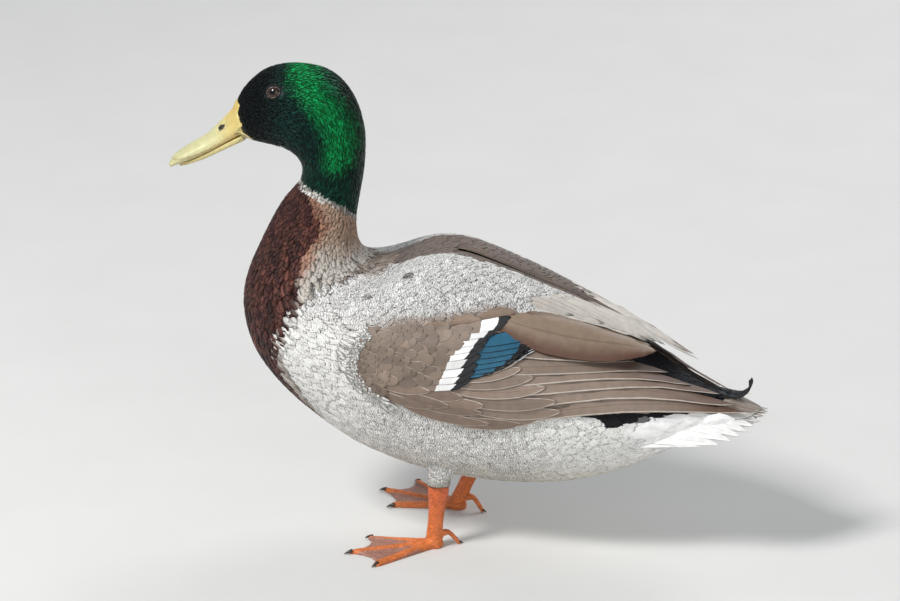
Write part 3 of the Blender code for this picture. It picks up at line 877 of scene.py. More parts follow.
def markings(place, angle, point):
    """The coat's colour, and how strongly it is barred, at points of the body."""
    angle = from_back(angle % 360)
    y, z = point[:, 1], point[:, 2]
    beneath = ring_distance(place, angle)
    behind = y - np.interp(z, BREAST_EDGE[:, 1], BREAST_EDGE[:, 0]) + 1.5 * mottle(point, 7, 2)
    fold = behind_fold(place, angle)
    shoulder = ease(z, 130, 160)

    ruddy = np.clip(0.36 + 0.34 * mottle(point, 8, 3) + 0.3 * mottle(point, 3, 13), 0, 1)
    breast = blend(ruddy, MAROON, RUST) * (0.85 + 0.3 * mottle(point, 22, 4))[:, None]
    nape = blend(ease(beneath + 3 * mottle(point, 9, 12), 12, 40), HINDNECK, NECK_GREY)
    # Higher up, the flank's colour gives way to its copy with painted shade on top.
    rear = blend(ease(fold, -0.02, 0.03), nape, blend(shoulder, FLANK, TOP_SHADED_FLANK))
    rear = blend(0.7 * ease(np.abs(fold + 0.03), 0.08, 0.02) * ease(angle, 66, 50), rear, BACK_BROWN)
    # A dark line along the fold, all round: painted shade in its crease.
    rear = blend(0.45 * ease(np.abs(fold + 0.03), 0.05, 0.01), rear, PAINTED_SHADE)
    rear = blend(ease(angle, 34, 20) * ease(place, 5.5, 5.9), rear, TAUPE)
    rear = blend(0.85 * ease(behind, 9, 1) * ease(z, 160, 176), rear, RUSTY_EDGE)
    colour = blend(ease(behind, -1, 1), breast, rear)
    # Low on the rear belly the colour is painted darker and warmer, as shade towards the bottom.
    colour = blend(0.55 * ease(z, 70, 45) * ease(place, 7.6, 9.0), colour, BELLY_SHADE)

    ragged = 0.05 * mottle(point, 5, 9)
    black = ease(place + ragged - 0.02 * (angle - 80), 9.5, 9.56) * ease(angle, 100, 96)
    black = np.maximum(black, ease(place + ragged, 10.15, 10.25) * ease(angle, 146, 152))
    white = white_side(place, angle)
    colour = blend(white, blend(black, colour, BLACK), WHITE)
    ring = np.asarray(RING_WHITE) * (0.75 + 0.25 * ease(angle, 30, 70))[:, None]
    colour = blend(ease(beneath, 2.0, 1.4), colour, ring)
    colour = blend(ease(beneath, -1.2, -1.8), colour, head_colours(point, beneath))

    below_wing = ease(z, 120, 90) * ease(y, -80, -40) * ease(y, 70, 30)
    bars = ease(behind, 0, 4) * (0.45 + 0.55 * ease(fold, -0.1, 0.0))
    bars *= 1 - 0.6 * ease(fold, 0, 0.1) * (1 - below_wing) * (1 - shoulder)
    bars = bars * (1 - black) * (1 - white)
    return np.clip(colour, 0.002, 1), bars * ease(beneath, 2, 5)


def scapular_colours(place, angle, point, lower_edge):
    """As markings, for the short feathers over the shoulder and back."""
    rearward = ease(point[:, 1], 0, 60)
    band = (18.5 - 9 * rearward) * ease(place, 5.6, 6.4)
    across = np.abs(point[:, 0] + 8 + 4.5 * rearward) + 1.5 * mottle(point, 10, 5)
    # The shoulder's pale colour is the flank's with painted shade on top.
    colour = blend(ease(across, band + 1.5, band - 1.5), TOP_SHADED_FLANK, BACK_BROWN)
    warm = ease(lower_edge - angle, 9, 3) * ease(place, 7.0, 7.5) * ease(place, 8.45, 8.2)
    colour = blend(0.75 * warm, colour, WARM_BROWN)
    # Two gaps painted nearly black: painted shade in them.
    for gap in GAPS:
        distance = np.linalg.norm((point - gap) * (1.0, 1.0, 1.8), axis=1)
        colour = blend(0.95 * ease(distance, 4.5, 1.5), colour, GAP_SHADE)
    front = behind_fold(place, angle) + 0.05 * mottle(point, 5, 14)
    brown = np.interp(angle, [18, 38], [0.45, 0.17])
    colour = blend(0.75 * ease(front, brown, brown - 0.1) * ease(angle, 60, 44), colour, TAUPE)
    return colour, ease(across, band, band + 3)


# ---------------------------------------------------------------- the short coat

# Along the body: the distance between feathers, their length and width, and the coat's depth.
COAT_PLACES = [0.0, 1.0, 3.0, 4.2, 5.5, 7.0, 9.0, 11.0]
COAT_SPACING = [0.95, 1.15, 1.35, 1.6, 2.4, 3.0, 3.2, 3.0]
COAT_LENGTH = [3.2, 4.2, 5.2, 6.5, 9.5, 13.0, 15.0, 14.0]
COAT_WIDTH = [1.3, 1.7, 2.0, 2.4, 4.0, 5.2, 6.0, 5.5]
COAT_DEPTH = [0.5, 0.6, 0.7, 0.8, 1.0, 1.1, 1.1, 1.0]
RUMP_END = TAIL_ROOT - 0.22  # where the black feathers give way to the tail's middle ones
FOLD_LIFT = 0.25  # how far the first feathers behind the fold stand up
REAR = 8.3        # the feathers behind this place are a piece of their own
WING_TIPS = 10.6  # none grow behind this place and between these angles, under the tips of the wings
WING_TIPS_ANGLES = (28, 72)
MIDDLE = 0.6      # a vane takes its colour from this far along it


def coat(values, place):
    """A value of the coat at places on the body."""
    return np.interp(place, COAT_PLACES, values)


def staggered_rows(surface, start, end, low_angle, high_angle, spacing, stretch=1.25):
    """Roots in staggered rows, thinned where the ribs crowd together so that they stay even."""
    place, row, roots = start, 0, []
    around = high_angle - low_angle
    while place < end:
        step = spacing(place)
        ring = pairs(place, np.linspace(low_angle, high_angle, 91))
        speed = surface.read(surface.speed, ring)
        count = max(int(speed[:, 1].mean() * around / step), 1)
        shift = 0.25 + 0.5 * (row % 2)
        angle = low_angle + (np.arange(count) + shift + rng.uniform(-0.3, 0.3, count)) * around / count
        fastest = speed[:, 0].max()
        here = np.interp(angle, ring[:, 1], speed[:, 0])
        kept = rng.uniform(0, 1, count) < here / fastest
        jitter = rng.uniform(-0.45, 0.45, count) * step * stretch / fastest
        roots.append(pairs(place + jitter, angle)[kept])
        place += step * stretch / fastest
        row += 1
    return np.concatenate(roots)


def tips_of(surface, root, length, turn, slope=0.0, steps=6):
    """Where vanes of some length end that leave their roots at an angle to the body's own way. The
    slope adds to that angle, in degrees round the body to a place."""
    tip = root
    for _ in range(steps):
        speed = surface.read(surface.speed, tip)
        heading = np.radians(turn) + np.arctan2(slope * speed[:, 1], speed[:, 0])
        way = pairs(np.cos(heading), np.sin(heading))
        tip = tip + way * np.broadcast_to(length, len(root))[:, None] / steps / speed
    return tip


def clear_of_eyes(root, tip):
    """Which vanes of the body leave the eyes and their lids free."""
    clear = np.ones(len(root), bool)
    for share in (0.0, 0.35, 0.7, 1.0):
        point = BODY.at(root + (tip - root) * share)
        for middle, out, ahead, up in EYE_AXES.values():
            away = point - middle
            long, high, deep = away @ ahead / LIDS[0], away @ up / LIDS[1], away @ out / LIDS_DEPTH
            clear &= long**2 + high**2 + deep**2 > 1
    return clear


def hidden(root):
    """Whether the long feathers of a wing or the back lie well over a place on the body."""
    place, angle = root[:, 0], root[:, 1] % 360
    found = np.zeros(len(root), bool)
    for name, side in SIDES.items():
        own = angle if side > 0 else 360 - angle
        for layers in (WING, TERTIALS, SCAPULARS):
            over = layers[name].holds(place, np.minimum(own, LAYER_ANGLES - 1), 8)
            found |= (own < LAYER_ANGLES) & over
    return found


def short_coat_roots():
    """Where the small feathers of the body grow: where nothing hides it, behind the bill."""
    root = staggered_rows(BODY, start=0.02, end=RUMP_END, low_angle=0.0, high_angle=360.0,
                          spacing=lambda place: coat(COAT_SPACING, place))
    place, folded = root[:, 0], from_back(root[:, 1])
    covered = place < np.interp(folded, FEATHER_ANGLES, FEATHER_PLACES) - 0.03
    covered |= (place > WING_TIPS) & (folded > WING_TIPS_ANGLES[0]) & (folded < WING_TIPS_ANGLES[1])
    return root[~hidden(root) & ~covered & (white_side(place, folded) < 0.5)]


def short_coat():
    """All the small feathers of the head, neck, breast, belly, flanks and rump, as separate lots."""
    root = short_coat_roots()
    length = coat(COAT_LENGTH, root[:, 0]) * rng.uniform(0.8, 1.2, len(root))
    beneath = ring_distance(root[:, 0], from_back(root[:, 1]))
    length *= 1 - 0.35 * ease(np.abs(beneath + 2), 8, 4)
    tip = tips_of(BODY, root, length, rng.normal(0, 9, len(root)))
    clear = clear_of_eyes(root, tip)
    root, tip, beneath = root[clear], tip[clear], beneath[clear]
    place = root[:, 0]
    middle = root + (tip - root) * MIDDLE
    tint, bars = markings(middle[:, 0], middle[:, 1], BODY.at(middle))
    maroon = tint[:, 0] > 2.5 * tint[:, 2]
    rough = maroon | (beneath < 0)
    tint = tint * (1 + rng.uniform(-1, 1, len(tint)) * np.where(rough, 0.15, 0.06))[:, None]
    fold = behind_fold(place, from_back(root[:, 1]))
    raised = FOLD_LIFT * ease(fold, -0.03, 0.08) * ease(fold, 0.9, 0.2)
    depth = coat(COAT_DEPTH, place) * np.where(fold > 0, 0.25, np.where(rough, 0.8, 0.22))
    high = 0.03 + rng.uniform(0, 0.04, len(root)) * coat(COAT_SPACING, place) + raised
    head, rear = beneath < -1, place > REAR
    front = ~head & (fold < 0)
    lots = {}
    for lot, held, shape, wider in (
        ("head_", head, PLUMULE, 1.0),
        ("breast_", front & maroon, LOOSE, 1.3),
        ("neck_", front & ~maroon, LOOSE, 1.3),
        ("flank_", ~head & ~front & ~rear, CONTOUR, 1.0),
        ("rear_", ~front & rear, CONTOUR, 1.0),
    ):
        for name, side in SIDES.items():
            chosen = held & ((root[:, 1] < 180) == (side > 0))
            lots[lot + name] = lay(
                BODY, shape, root[chosen], tip[chosen], coat(COAT_WIDTH, place[chosen]) * wider, tint[chosen],
                low=-depth[chosen], high=high[chosen], bars=bars[chosen], thick=0.05, camber=0.015)
    return lots


def white_side_feathers(side):
    """The long white feathers at the side of the tail's root, in four rows."""
    count, turning = 17, 86
    rows = []
    for back, reach in ((0.0, 0.55), (0.25, 0.6), (0.5, 0.6), (0.75, 0.55)):
        angle = np.linspace(77, 145, count)
        place = np.interp(angle, WHITE_ANGLES, WHITE_PLACES) + back + rng.uniform(-0.04, 0.04, count)
        rows.append(np.stack([place, angle, np.full(count, reach)], axis=-1))
    rows = np.concatenate(rows)
    rows = rows[rows[:, 0] < TAIL_ROOT - 0.25]
    rows = rows[np.argsort(-rows[:, 0])]
    root = rows[:, :2] * (1, side)
    end = np.minimum(rows[:, 0] + rows[:, 2], TAIL_ROOT + 0.3)
    tip = pairs(end, turning + (rows[:, 1] - turning) * 0.9) * (1, side)
    # Painted lighter than the tail's white: painted light against the wing's shade.
    return lay(BODY, BROAD, root, tip, 5.5, LIT_SIDE_WHITE, low=-0.6, high=np.linspace(0.3, 0.9, len(rows)),
               thick=0.08, camber=0.01)


HEAD_FEATHERS = plumage("glossy_head_feathers", barbs=0.3, spread=0.5, Roughness=0.42, Metallic=0.25,
                        Specular_IOR_Level=0.16)
BREAST_FEATHERS = plumage("breast_feathers", barbs=0.2, spread=0.3, Roughness=0.62, Specular_IOR_Level=0.25)
BODY_FEATHERS = plumage("barred_feathers", barbs=0.03, spread=0.05, Roughness=0.75, Specular_IOR_Level=0.2)
WHITE_FEATHERS = plumage("white_feathers", barbs=0.04, spread=0.04, Roughness=0.6, Specular_IOR_Level=0.2)


def add_short_coat():
    """The coats of the head, neck and body, with the white sides of the tail's root."""
    lots = short_coat()
    for name, side in SIDES.items():
        for lot, material, slot in (
            ("head", HEAD_FEATHERS, "green_head"),
            ("breast", BREAST_FEATHERS, "chestnut_breast"),
            ("neck", BODY_FEATHERS, "chestnut_breast"),
            ("flank", BODY_FEATHERS, "grey_flank"),
            ("rear", BODY_FEATHERS, "grey_flank"),
        ):
            add_coat(f"{lot}_coat_{name}", [lots[f"{lot}_{name}"]], material)
        add_coat("white_side_coat_" + name, [white_side_feathers(side)], WHITE_FEATHERS)


add_short_coat()


# ---------------------------------------------------------------- the thighs and the skin

THIGH_SUNK = 14.0      # the thigh's surface starts this far below the top of its solid
ANKLE_AHEAD = 7.5      # and ends this far ahead of the back of the shank
THIGH_WIDTH = [0.72, 0.72, 0.92]   # of the solid's, at three places down the thigh
THIGH_INWARD = [12.0, 6.0, 0.0]    # how far inward it lies, likewise
THINNEST = 4.0
SKIN_DEPTH = 1.2


def thigh_surface(name):
    """The feathered thigh, all round, from inside the belly down to the ankle."""
    low, high = (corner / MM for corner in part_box("thigh_" + name))
    ankle = sum(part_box("tarsus_" + name), Vector()) / 2 / MM
    ankle_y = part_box("tarsus_" + name)[1].y / MM - ANKLE_AHEAD
    top_x, top_y, top_z = (low.x + high.x) / 2, (low.y + high.y) / 2, high.z - THIGH_SUNK
    spine = []
    for share in (0.0, 1.0):
        x = top_x + (ankle.x - top_x) * share
        y = top_y + (ankle_y - top_y) * share
        z = top_z + (low.z + 0.3 - top_z) * share
        spine.append(((x, y + 1, z), (x, y - 1, z)))
    places = np.arange(0, 1.001, 0.05)
    angles = np.arange(0, 360, 12.0)
    middle, rays = rib_axes(spine, places, angles)
    radius = reaches(tree_of("thigh_" + name), reach_from_inside, middle, rays)
    radius = np.maximum(radius * np.interp(places, [0.3, 0.75, 1.0], THIGH_WIDTH)[:, None], THINNEST)
    radius = blurred(radius, 1, wrap=True)
    middle[:, 0] -= np.sign(top_x) * np.interp(places, [0.2, 0.6, 1.0], THIGH_INWARD)
    return Surface(middle[:, None] + rays * radius[..., None], places, angles, closed=True)


THIGHS = {name: thigh_surface(name) for name in SIDES}


def thigh_coat(name, count=2600):
    """The soft feathers down the thigh, to the ankle."""
    surface = THIGHS[name]
    root = pairs(rng.uniform(0.05, 0.88, count) ** 0.8, rng.uniform(0, 360, count))
    length = rng.uniform(4, 6.5, count)
    tip = tips_of(surface, root, length, rng.normal(0, 8, count))
    tip[:, 0] = np.minimum(tip[:, 0], rng.uniform(0.97, 1.0, count))
    tint = blend(ease(root[:, 0], 0.45, 0.8), FLANK, THIGH_GREY) * rng.uniform(0.8, 1.05, count)[:, None]
    high = rng.uniform(0, 0.2, count)
    return lay(surface, LOOSE, root, tip, 1.9, tint, low=-0.5, high=high, bars=0.7, thick=0.05)


for side_name in SIDES:
    add_coat("thigh_coat_" + side_name, [thigh_coat(side_name)], BODY_FEATHERS)


def nearest_on_body(points):
    """The place and angle on the body nearest to each point."""
    grid = chart_of(BODY.places[::3], BODY.angles[::2]).reshape(-1, 2)
    tree = KDTree(len(grid))
    for k, spot in enumerate(BODY.at(grid)):
        tree.insert(spot, k)
    tree.balance()
    return grid[[tree.find(point)[1] for point in points]]


def add_skin():
    """One skin under the coat, in the coat's colours painted darker as the shade under it, inside the solids
    by the coat's depth.
    """
    where = chart_of(BODY.places, BODY.angles)
    meshes = [grid_mesh(BODY.at(where, -coat(COAT_DEPTH, where[..., 0])))]
    for thigh in THIGHS.values():
        meshes.append(grid_mesh(thigh.at(chart_of(thigh.places, thigh.angles), -SKIN_DEPTH)))
    skin = remeshed(joined_meshes("skin", meshes), voxel=1.6, smooth=2)
    chart = nearest_on_body(points_of(skin))
    tint = markings(chart[:, 0], chart[:, 1], BODY.at(chart))[0]
    # Darkened by a fifth: painted shade under the coat.
    paint(skin, "tint", tint * 0.8)
    w = Wiring("skin_under_feathers", Roughness=0.8)
    material = w.finish(w.blotched(w.tint(), 1.5, 0.75, 1.2), w.bump(w.noise(0.8), 0.3, 0.6))
    finish_piece(skin, material, ("head", "neck", "trunk", "rump", "thigh_l", "thigh_r"))


add_skin()


# ---------------------------------------------------------------- back and wings

RIGHT_REACH = 0.225  # how much farther back the right side's last back feathers lie
WING_FRONT = 7.15    # places on the wing
WHITE_BAR = 8.16
BED_DEPTH = 1.9      # under the outside of the long feathers
BED_SLOPE = 5.0      # and farther under at their front, where their roots lie
BED_ACROSS = 24      # points across it


def reached(where, side):
    """The right side's long back feathers lie a little farther back than the left's."""
    where = np.array(where, float)
    if side < 0:
        where[..., 0] += RIGHT_REACH * np.maximum(0, (where[..., 0] - 8.0) / 1.5) ** 2
    return where


def along_line(line, count):
    """Evenly stepped places and angles along a line through a few of them."""
    line = np.asarray(line, float)
    share = np.linspace(0, len(line) - 1, count)
    return np.stack([np.interp(share, range(len(line)), line[:, k]) for k in (0, 1)], axis=-1)


def lower_scapular_edge(place):
    """The angle at which the back's short feathers end."""
    return np.interp(place, [5.7, 6.2, 7.0, 7.6, 8.4, 9.0, 9.8], [40, 60, 70, 58, 33, 17, 8])


def covert_spacing(place):
    """The distance between the scales over the front of the wing."""
    return np.interp(place, [7.15, 7.5, 8.0], [2.4, 3.6, 5.2])


def covert_slope(angle):
    """The way they lie, as the slope of tips_of."""
    return np.interp(angle, [50, 75, 95, 110], [-40, -28, -8, 8])


def scapular_coat(name):
    """The short barred feathers over the shoulder and upper back of one side."""
    layer = SCAPULARS[name]
    root = staggered_rows(layer, start=5.72, end=9.1, low_angle=0.5, high_angle=76.0,
                          spacing=lambda place: 2.5, stretch=1.1)
    slope = -27 * root[:, 1] / 62 * ease(root[:, 0], 5.8, 7.2)
    length = np.interp(root[:, 0], [5.5, 7.0, 8.5, 9.2], [9, 12, 16, 18])
    length = length * rng.uniform(0.85, 1.15, len(root))
    tip = tips_of(layer, root, length, rng.normal(0, 6, len(root)), slope)
    front = root[:, 0] < 7.0
    kept = front | layer.holds(root[:, 0], root[:, 1], 0)
    inside = front & (tip[:, 1] < lower_scapular_edge(tip[:, 0]))
    kept &= inside | layer.holds(tip[:, 0] - 0.03, tip[:, 1] - 1.5, 0)
    root, tip, length = root[kept], tip[kept], length[kept]
    middle = root + (tip - root) * MIDDLE
    edge = lower_scapular_edge(middle[:, 0])
    tint, bars = scapular_colours(middle[:, 0], middle[:, 1], layer.at(middle), edge)
    tint = tint * rng.uniform(0.9, 1.08, len(tint))[:, None]
    low = -0.3 - 0.3 * ease(root[:, 0], 6.6, 6.2)
    high = rng.uniform(-0.03, 0.05, len(root)) + 0.3 * ease(tip[:, 0], 6.6, 6.2)
    return lay(layer, CONTOUR, root, tip, length * 0.48, tint, low=low, high=high, bars=bars, thick=0.05,
               camber=0.012)


def long_back_feathers(name, side):
    """The long silver feathers that end the back's pale part, the dark ones along its middle, and
    the brown cape over the tertials."""
    layer = SCAPULARS[name]
    tips = [(9.02, 20), (9.35, 17.5), (9.62, 16), (9.86, 14.5), (9.95, 9), (10.06, 5)]
    roots = [(8.0, 24), (8.1, 20), (8.2, 16.5), (8.3, 13), (8.35, 9), (8.4, 5)]
    silver = lay(layer, FRAYED, reached(roots, side), reached(tips, side), [11, 12, 12, 13, 12, 10], SILVER,
                 low=-0.9, high=[0.3, 0.5, 0.7, 0.9, 0.9, 0.8], thick=0.15, camber=0.03)
    roots = along_line([(6.6, 5), (8.0, 3)], 7)
    tips = along_line([(7.9, 3.5), (9.3, 3)], 7)
    dark = lay(layer, POINTED, reached(roots, side), reached(tips, side), 6.5, BACK_BROWN, low=-1.0, high=0.2,
               thick=0.12, camber=0.03)
    roots = [(7.98, 45), (7.72, 52), (7.5, 58)]
    tips = [(8.47, 31), (8.2, 41), (7.95, 49)]
    cape = lay(layer, BROAD, roots, tips, [9, 9, 8], CAPE, low=-0.8, high=[0.5, 0.4, 0.3], thick=0.12,
               camber=0.03)
    return silver, dark, cape


def tertial_coat(name, side):
    """The broad brown feathers between the back and the folded wing, the lowest on top."""
    layer = TERTIALS[name]
    roots = reached([(8.35, 20), (8.25, 27), (8.15, 36)], side)
    tips = reached([(9.8, 12.5), (9.92, 14.5), (10.0, 18)], side)
    return lay(layer, BROAD, roots, tips, [15, 19, 27], [SILVER, TERTIAL, TERTIAL], low=-1.4,
               high=[-0.9, -0.6, -0.15], bow=[1, 3, 8], thick=0.25, camber=0.02, rise=0.5)


def primary_feathers(name):
    """The long wing feathers, from the lowest up, each over the one below."""
    roots = [(8.75, 94), (8.6, 89), (8.45, 80), (8.4, 76), (8.35, 66), (8.3, 54), (8.3, 48), (8.35, 42)]
    tips = [(11.38, 67), (11.18, 50), (10.9, 24), (10.5, 28), (10.2, 22), (9.8, 28), (9.6, 27), (9.5, 25)]
    return lay(WING[name], POINTED, roots, tips, 11.5, PRIMARY, low=np.linspace(-1.5, -0.9, 8),
               high=[-0.5, 0.3, 0.5, 0.5, 0.5, 0.4, 0.3, 0.2], bow=[-17, -15.5, -2, -4, 3, 2, 0, 0],
               thick=0.12, camber=0.0, rise=1.2, tilt=0.42)


def primary_covert_feathers(name):
    """The shorter feathers that hide the roots of the long ones, and those below them."""
    layer = WING[name]
    roots = along_line([(8.55, 94), (8.2, 80), (8.08, 70)], 8)
    tips = [(9.12, 85), (9.27, 78), (9.2, 72), (9.06, 65), (8.92, 61), (8.78, 58.5), (8.72, 55), (8.7, 52)]
    upper = lay(layer, BROAD, roots, tips, 9.5, PRIMARY, low=np.linspace(-1.0, -0.6, 8),
                high=np.linspace(-0.5, 0.0, 8), bow=2.5, thick=0.15, camber=0.0, tilt=0.4)
    roots = [(8.35, 103), (8.05, 104), (8.05, 98), (8.12, 93), (7.72, 103), (7.85, 97), (7.95, 89), (7.6, 95)]
    tips = [(8.98, 92), (8.75, 97), (8.66, 90), (8.64, 85), (8.3, 97), (8.4, 92), (8.46, 84), (8.2, 87)]
    lower = lay(layer, BROAD, roots, tips, [9, 8, 9, 10, 8, 10, 10, 10], LOW_COVERT, low=-0.8,
                high=[-0.2, -0.1, 0.1, 0.1, 0.1, 0.2, 0.3, 0.4], bow=1.5, thick=0.15, camber=0.02)
    return upper, lower


def speculum_feathers(name):
    """The blue feathers, each over the one below, and the white and black coverts over their roots."""
    layer = WING[name]
    tips = along_line([(8.44, 69), (8.58, 63), (8.71, 56.5), (8.80, 48), (8.83, 41), (8.81, 35)], 10)
    low = [-0.9, -0.5, -0.4, -0.3, -0.3, -0.2, -0.2, -0.1, -0.1, 0.0]
    blue = lay(layer, SQUARE, tips - (0.5, -18), tips, 9.0, BLUE, low=low, high=np.linspace(0.2, 0.6, 10),
               thick=0.15, camber=0.0, rise=0.6, tilt=0.3, slant=0.22)
    tips = along_line([(8.43, 74.5), (8.41, 66), (8.37, 56), (8.37, 48), (8.45, 37)], 9)
    great = lay(layer, SQUARE, tips - (0.38, -13), tips, 8.5, TAUPE, low=np.linspace(-0.2, 0.0, 9),
                high=np.linspace(0.7, 0.9, 9), thick=0.15, camber=0.01, tilt=0.25, slant=0.10)
    return blue, great


def small_coverts(name):
    """The scales over the front of the wing, from small at its edge to large before the white bar."""
    layer = WING[name]
    root = staggered_rows(layer, start=WING_FRONT, end=WHITE_BAR - 0.08, low_angle=34.0, high_angle=112.0,
                          spacing=covert_spacing, stretch=1.0)
    length = 3.0 * covert_spacing(root[:, 0]) * rng.uniform(0.9, 1.1, len(root))
    tip = tips_of(layer, root, length, rng.normal(0, 5, len(root)), covert_slope(root[:, 1]))
    kept = layer.holds(root[:, 0], root[:, 1] + 1, 0)
    kept &= layer.holds(tip[:, 0], tip[:, 1] + 3, 0) | (tip[:, 1] < 60)
    kept &= (tip[:, 0] < WHITE_BAR + 0.04) & ~((tip[:, 0] > 7.95) & (tip[:, 1] > 88))
    root, tip, length = root[kept], tip[kept], length[kept]
    tint = TAUPE * (0.92 + 0.16 * mottle(layer.at(root), 25, 6))[:, None]
    tint = tint * rng.uniform(0.88, 1.1, len(root))[:, None]
    high = rng.uniform(0.5, 0.68, len(root))
    return lay(layer, COVERT, root, tip, length * 0.62, tint, low=-0.1, high=high, thick=0.07, camber=0.008)


def front_feathers(name, side, count=260):
    """Grey feathers of the flank that lie over the front edge of the folded wing."""
    layer = WING[name]
    first = np.array([layer.places[column].min() if column.any() else np.nan for column in layer.held.T])
    known = np.isfinite(first)
    angle = rng.uniform(77, 109, count)
    front = np.interp(angle, layer.angles[known], first[known])
    root = pairs(front - rng.uniform(0.0, 0.13, count), angle)
    length = rng.uniform(8, 12, count)
    tip = tips_of(layer, root, length, rng.normal(0, 10, count), covert_slope(angle))
    height = np.linalg.norm(layer.at(root) - BODY.at(root * (1, side)), axis=1)
    # Some feathers are painted darker at random, up to half way to the dark brown: painted shade among them.
    shade = rng.uniform(0.0, 1.0, count) ** 2
    tint = blend(0.5 * shade, np.broadcast_to(FLANK, (count, 3)), PAINTED_SHADE)
    low, high = -np.minimum(height, 5) - 0.3, rng.uniform(0.75, 1.0, count)
    return lay(layer, LOOSE, root, tip, 4.2, tint, low=low, high=high, bars=0.4, thick=0.05, camber=0.01,
               rise=0.5)


def add_bed(name, layer, side, colour, replaces):
    """What lies under a layer of long feathers: a filling between it and the body, painted darker than the
    layer as the shade under it.
    """
    rings = []
    full = layer.places[layer.held.sum(axis=1) > 3]
    for place, held in zip(layer.places, layer.held):
        if held.sum() < 4 or not full[0] + 0.25 < place < full[-1] - 0.3:
            continue
        low, high = layer.angles[held].min(), layer.angles[held].max()
        margin = min(5.0, 0.3 * (high - low))
        angles = np.linspace(low + margin, high - margin, BED_ACROSS)
        where = pairs(place, angles)
        body = where * (1, side)
        under, normal = BODY.at(body), unit(BODY.read(BODY.normals, body))
        height = np.einsum("ij,ij->i", layer.at(where) - under, normal) - BED_DEPTH
        height -= BED_SLOPE * ease(place, full[0] + 1.2, full[0] + 0.3)
        top = under + normal * np.maximum(height, 0.1)[:, None]
        rings.append(np.concatenate([top, (under - normal * 1.0)[::-1]]))
    bed = make_mesh("bed_" + name, *grid_mesh(np.array(rings)))
    w = Wiring("under_" + name, Roughness=0.8)
    streaks = w.noise(2.0, 4.0, 0.6, w.stretched(1.0, 0.15, 1.0))
    # dark is painted shade: the layer's colour darkened for the shade under its feathers.
    dark, light = (tuple(share * c for c in colour) for share in (0.55, 0.95))
    grey = w.mix(w.step(streaks, 0.3, 0.7), dark, light)
    return finish_piece(bed, w.finish(grey, w.bump(streaks, 0.2)), replaces)


def wing_materials():
    """The feathers of each coat of the back and wings, by the coat's name."""
    blue_bands = ((0.7, -0.06, 0.0, BLACK), (0.965, 0.0, 0.0, WHITE))
    white_bands = ((0.42, 0.0, 0.0, WHITE), (0.77, 0.05, 0.0, BLACK))
    return {
        "scapular": plumage("barred_back_feathers", barbs=0.05, spread=0.07, Roughness=0.7, Sheen_Weight=0.2),
        "silver": plumage("silver_feathers", edge=SILVER_EDGE, edge_from=0.72, one_side=True,
                          shaft=(0.28, 0.22, 0.18), barbs=0.12, lower=SILVER_DARK, Roughness=0.6),
        "dark_back": plumage("dark_back_feathers", edge=BACK_EDGE, edge_from=0.86, barbs=0.2, spread=0.3,
                             Roughness=0.6),
        "tertial": plumage("tertial_feathers", lower=TERTIAL_DARK, shaft=(0.14, 0.09, 0.06), barbs=0.06,
                           Roughness=0.42),
        "primary": plumage("primary_feathers", edge=PRIMARY_EDGE, edge_from=0.78, one_side=True,
                           tip=PRIMARY_TIP, shaft=(0.12, 0.08, 0.06), barbs=0.08, Roughness=0.5),
        "primary_coverts": plumage("primary_covert_feathers", edge=PRIMARY_EDGE, edge_from=0.84,
                                   shaft=(0.16, 0.11, 0.08), barbs=0.08, Roughness=0.5),
        "speculum": plumage("speculum_feathers", edge=BLACK, edge_from=0.84, bands=blue_bands, barbs=0.2,
                            Roughness=0.38, Metallic=0.2),
        "white_bar": plumage("white_bar_feathers", bands=white_bands, barbs=0.05, Roughness=0.55),
        "covert": plumage("covert_feathers", edge=TAUPE_EDGE, edge_from=0.84, barbs=0.1, spread=0.12,
                          Roughness=0.6),
        "wing_front": BODY_FEATHERS,
    }


def add_wings():
    """The beds and the coats of the back and wings, on both sides."""
    materials = wing_materials()
    for name, side in SIDES.items():
        add_bed("scapulars_" + name, SCAPULARS[name], side, SILVER, ["scapulars_" + name])
        add_bed("wing_" + name, WING[name], side, TAUPE, ["wing_" + name, "primaries_" + name])
        add_bed("tertials_" + name, TERTIALS[name], side, TERTIAL, ["tertials_" + name])
        scapulars = scapular_coat(name)
        silver, dark, cape = long_back_feathers(name, side)
        upper_coverts, lower_coverts = primary_covert_feathers(name)
        tertials = tertial_coat(name, side)
        primaries = primary_feathers(name)
        blue, great = speculum_feathers(name)
        coverts = small_coverts(name)
        for coat_name, parts, piece, slot in (
            ("scapular", [scapulars], "scapular_coat_", "pale_scapulars"),
            ("silver", [silver], "silver_coat_", "pale_scapulars"),
            ("dark_back", [dark], "dark_back_coat_", "pale_scapulars"),
            ("tertial", [tertials, cape], "tertial_coat_", "brown_tertials"),
            ("primary", [primaries], "primary_coat_", "brown_primaries"),
            ("primary_coverts", [upper_coverts, lower_coverts], "primary_coverts_", "brown_primaries"),
            ("speculum", [blue], "speculum_coat_", "taupe_wing"),
            ("white_bar", [great], "white_bar_coat_", "taupe_wing"),
            ("covert", [coverts], "covert_coat_", "taupe_wing"),
            ("wing_front", [front_feathers(name, side)], "wing_front_coat_", "grey_flank"),
        ):
            add_coat(piece + name, parts, materials[coat_name])


add_wings()


# ---------------------------------------------------------------- tail and its curls

TAIL_HALF = 36.0    # half its width
TAIL_START = 98.0   # how far back its surface starts, under the rump,
TAIL_BEYOND = 190.0  # and a place behind its end
OVERHEAD = 300.0


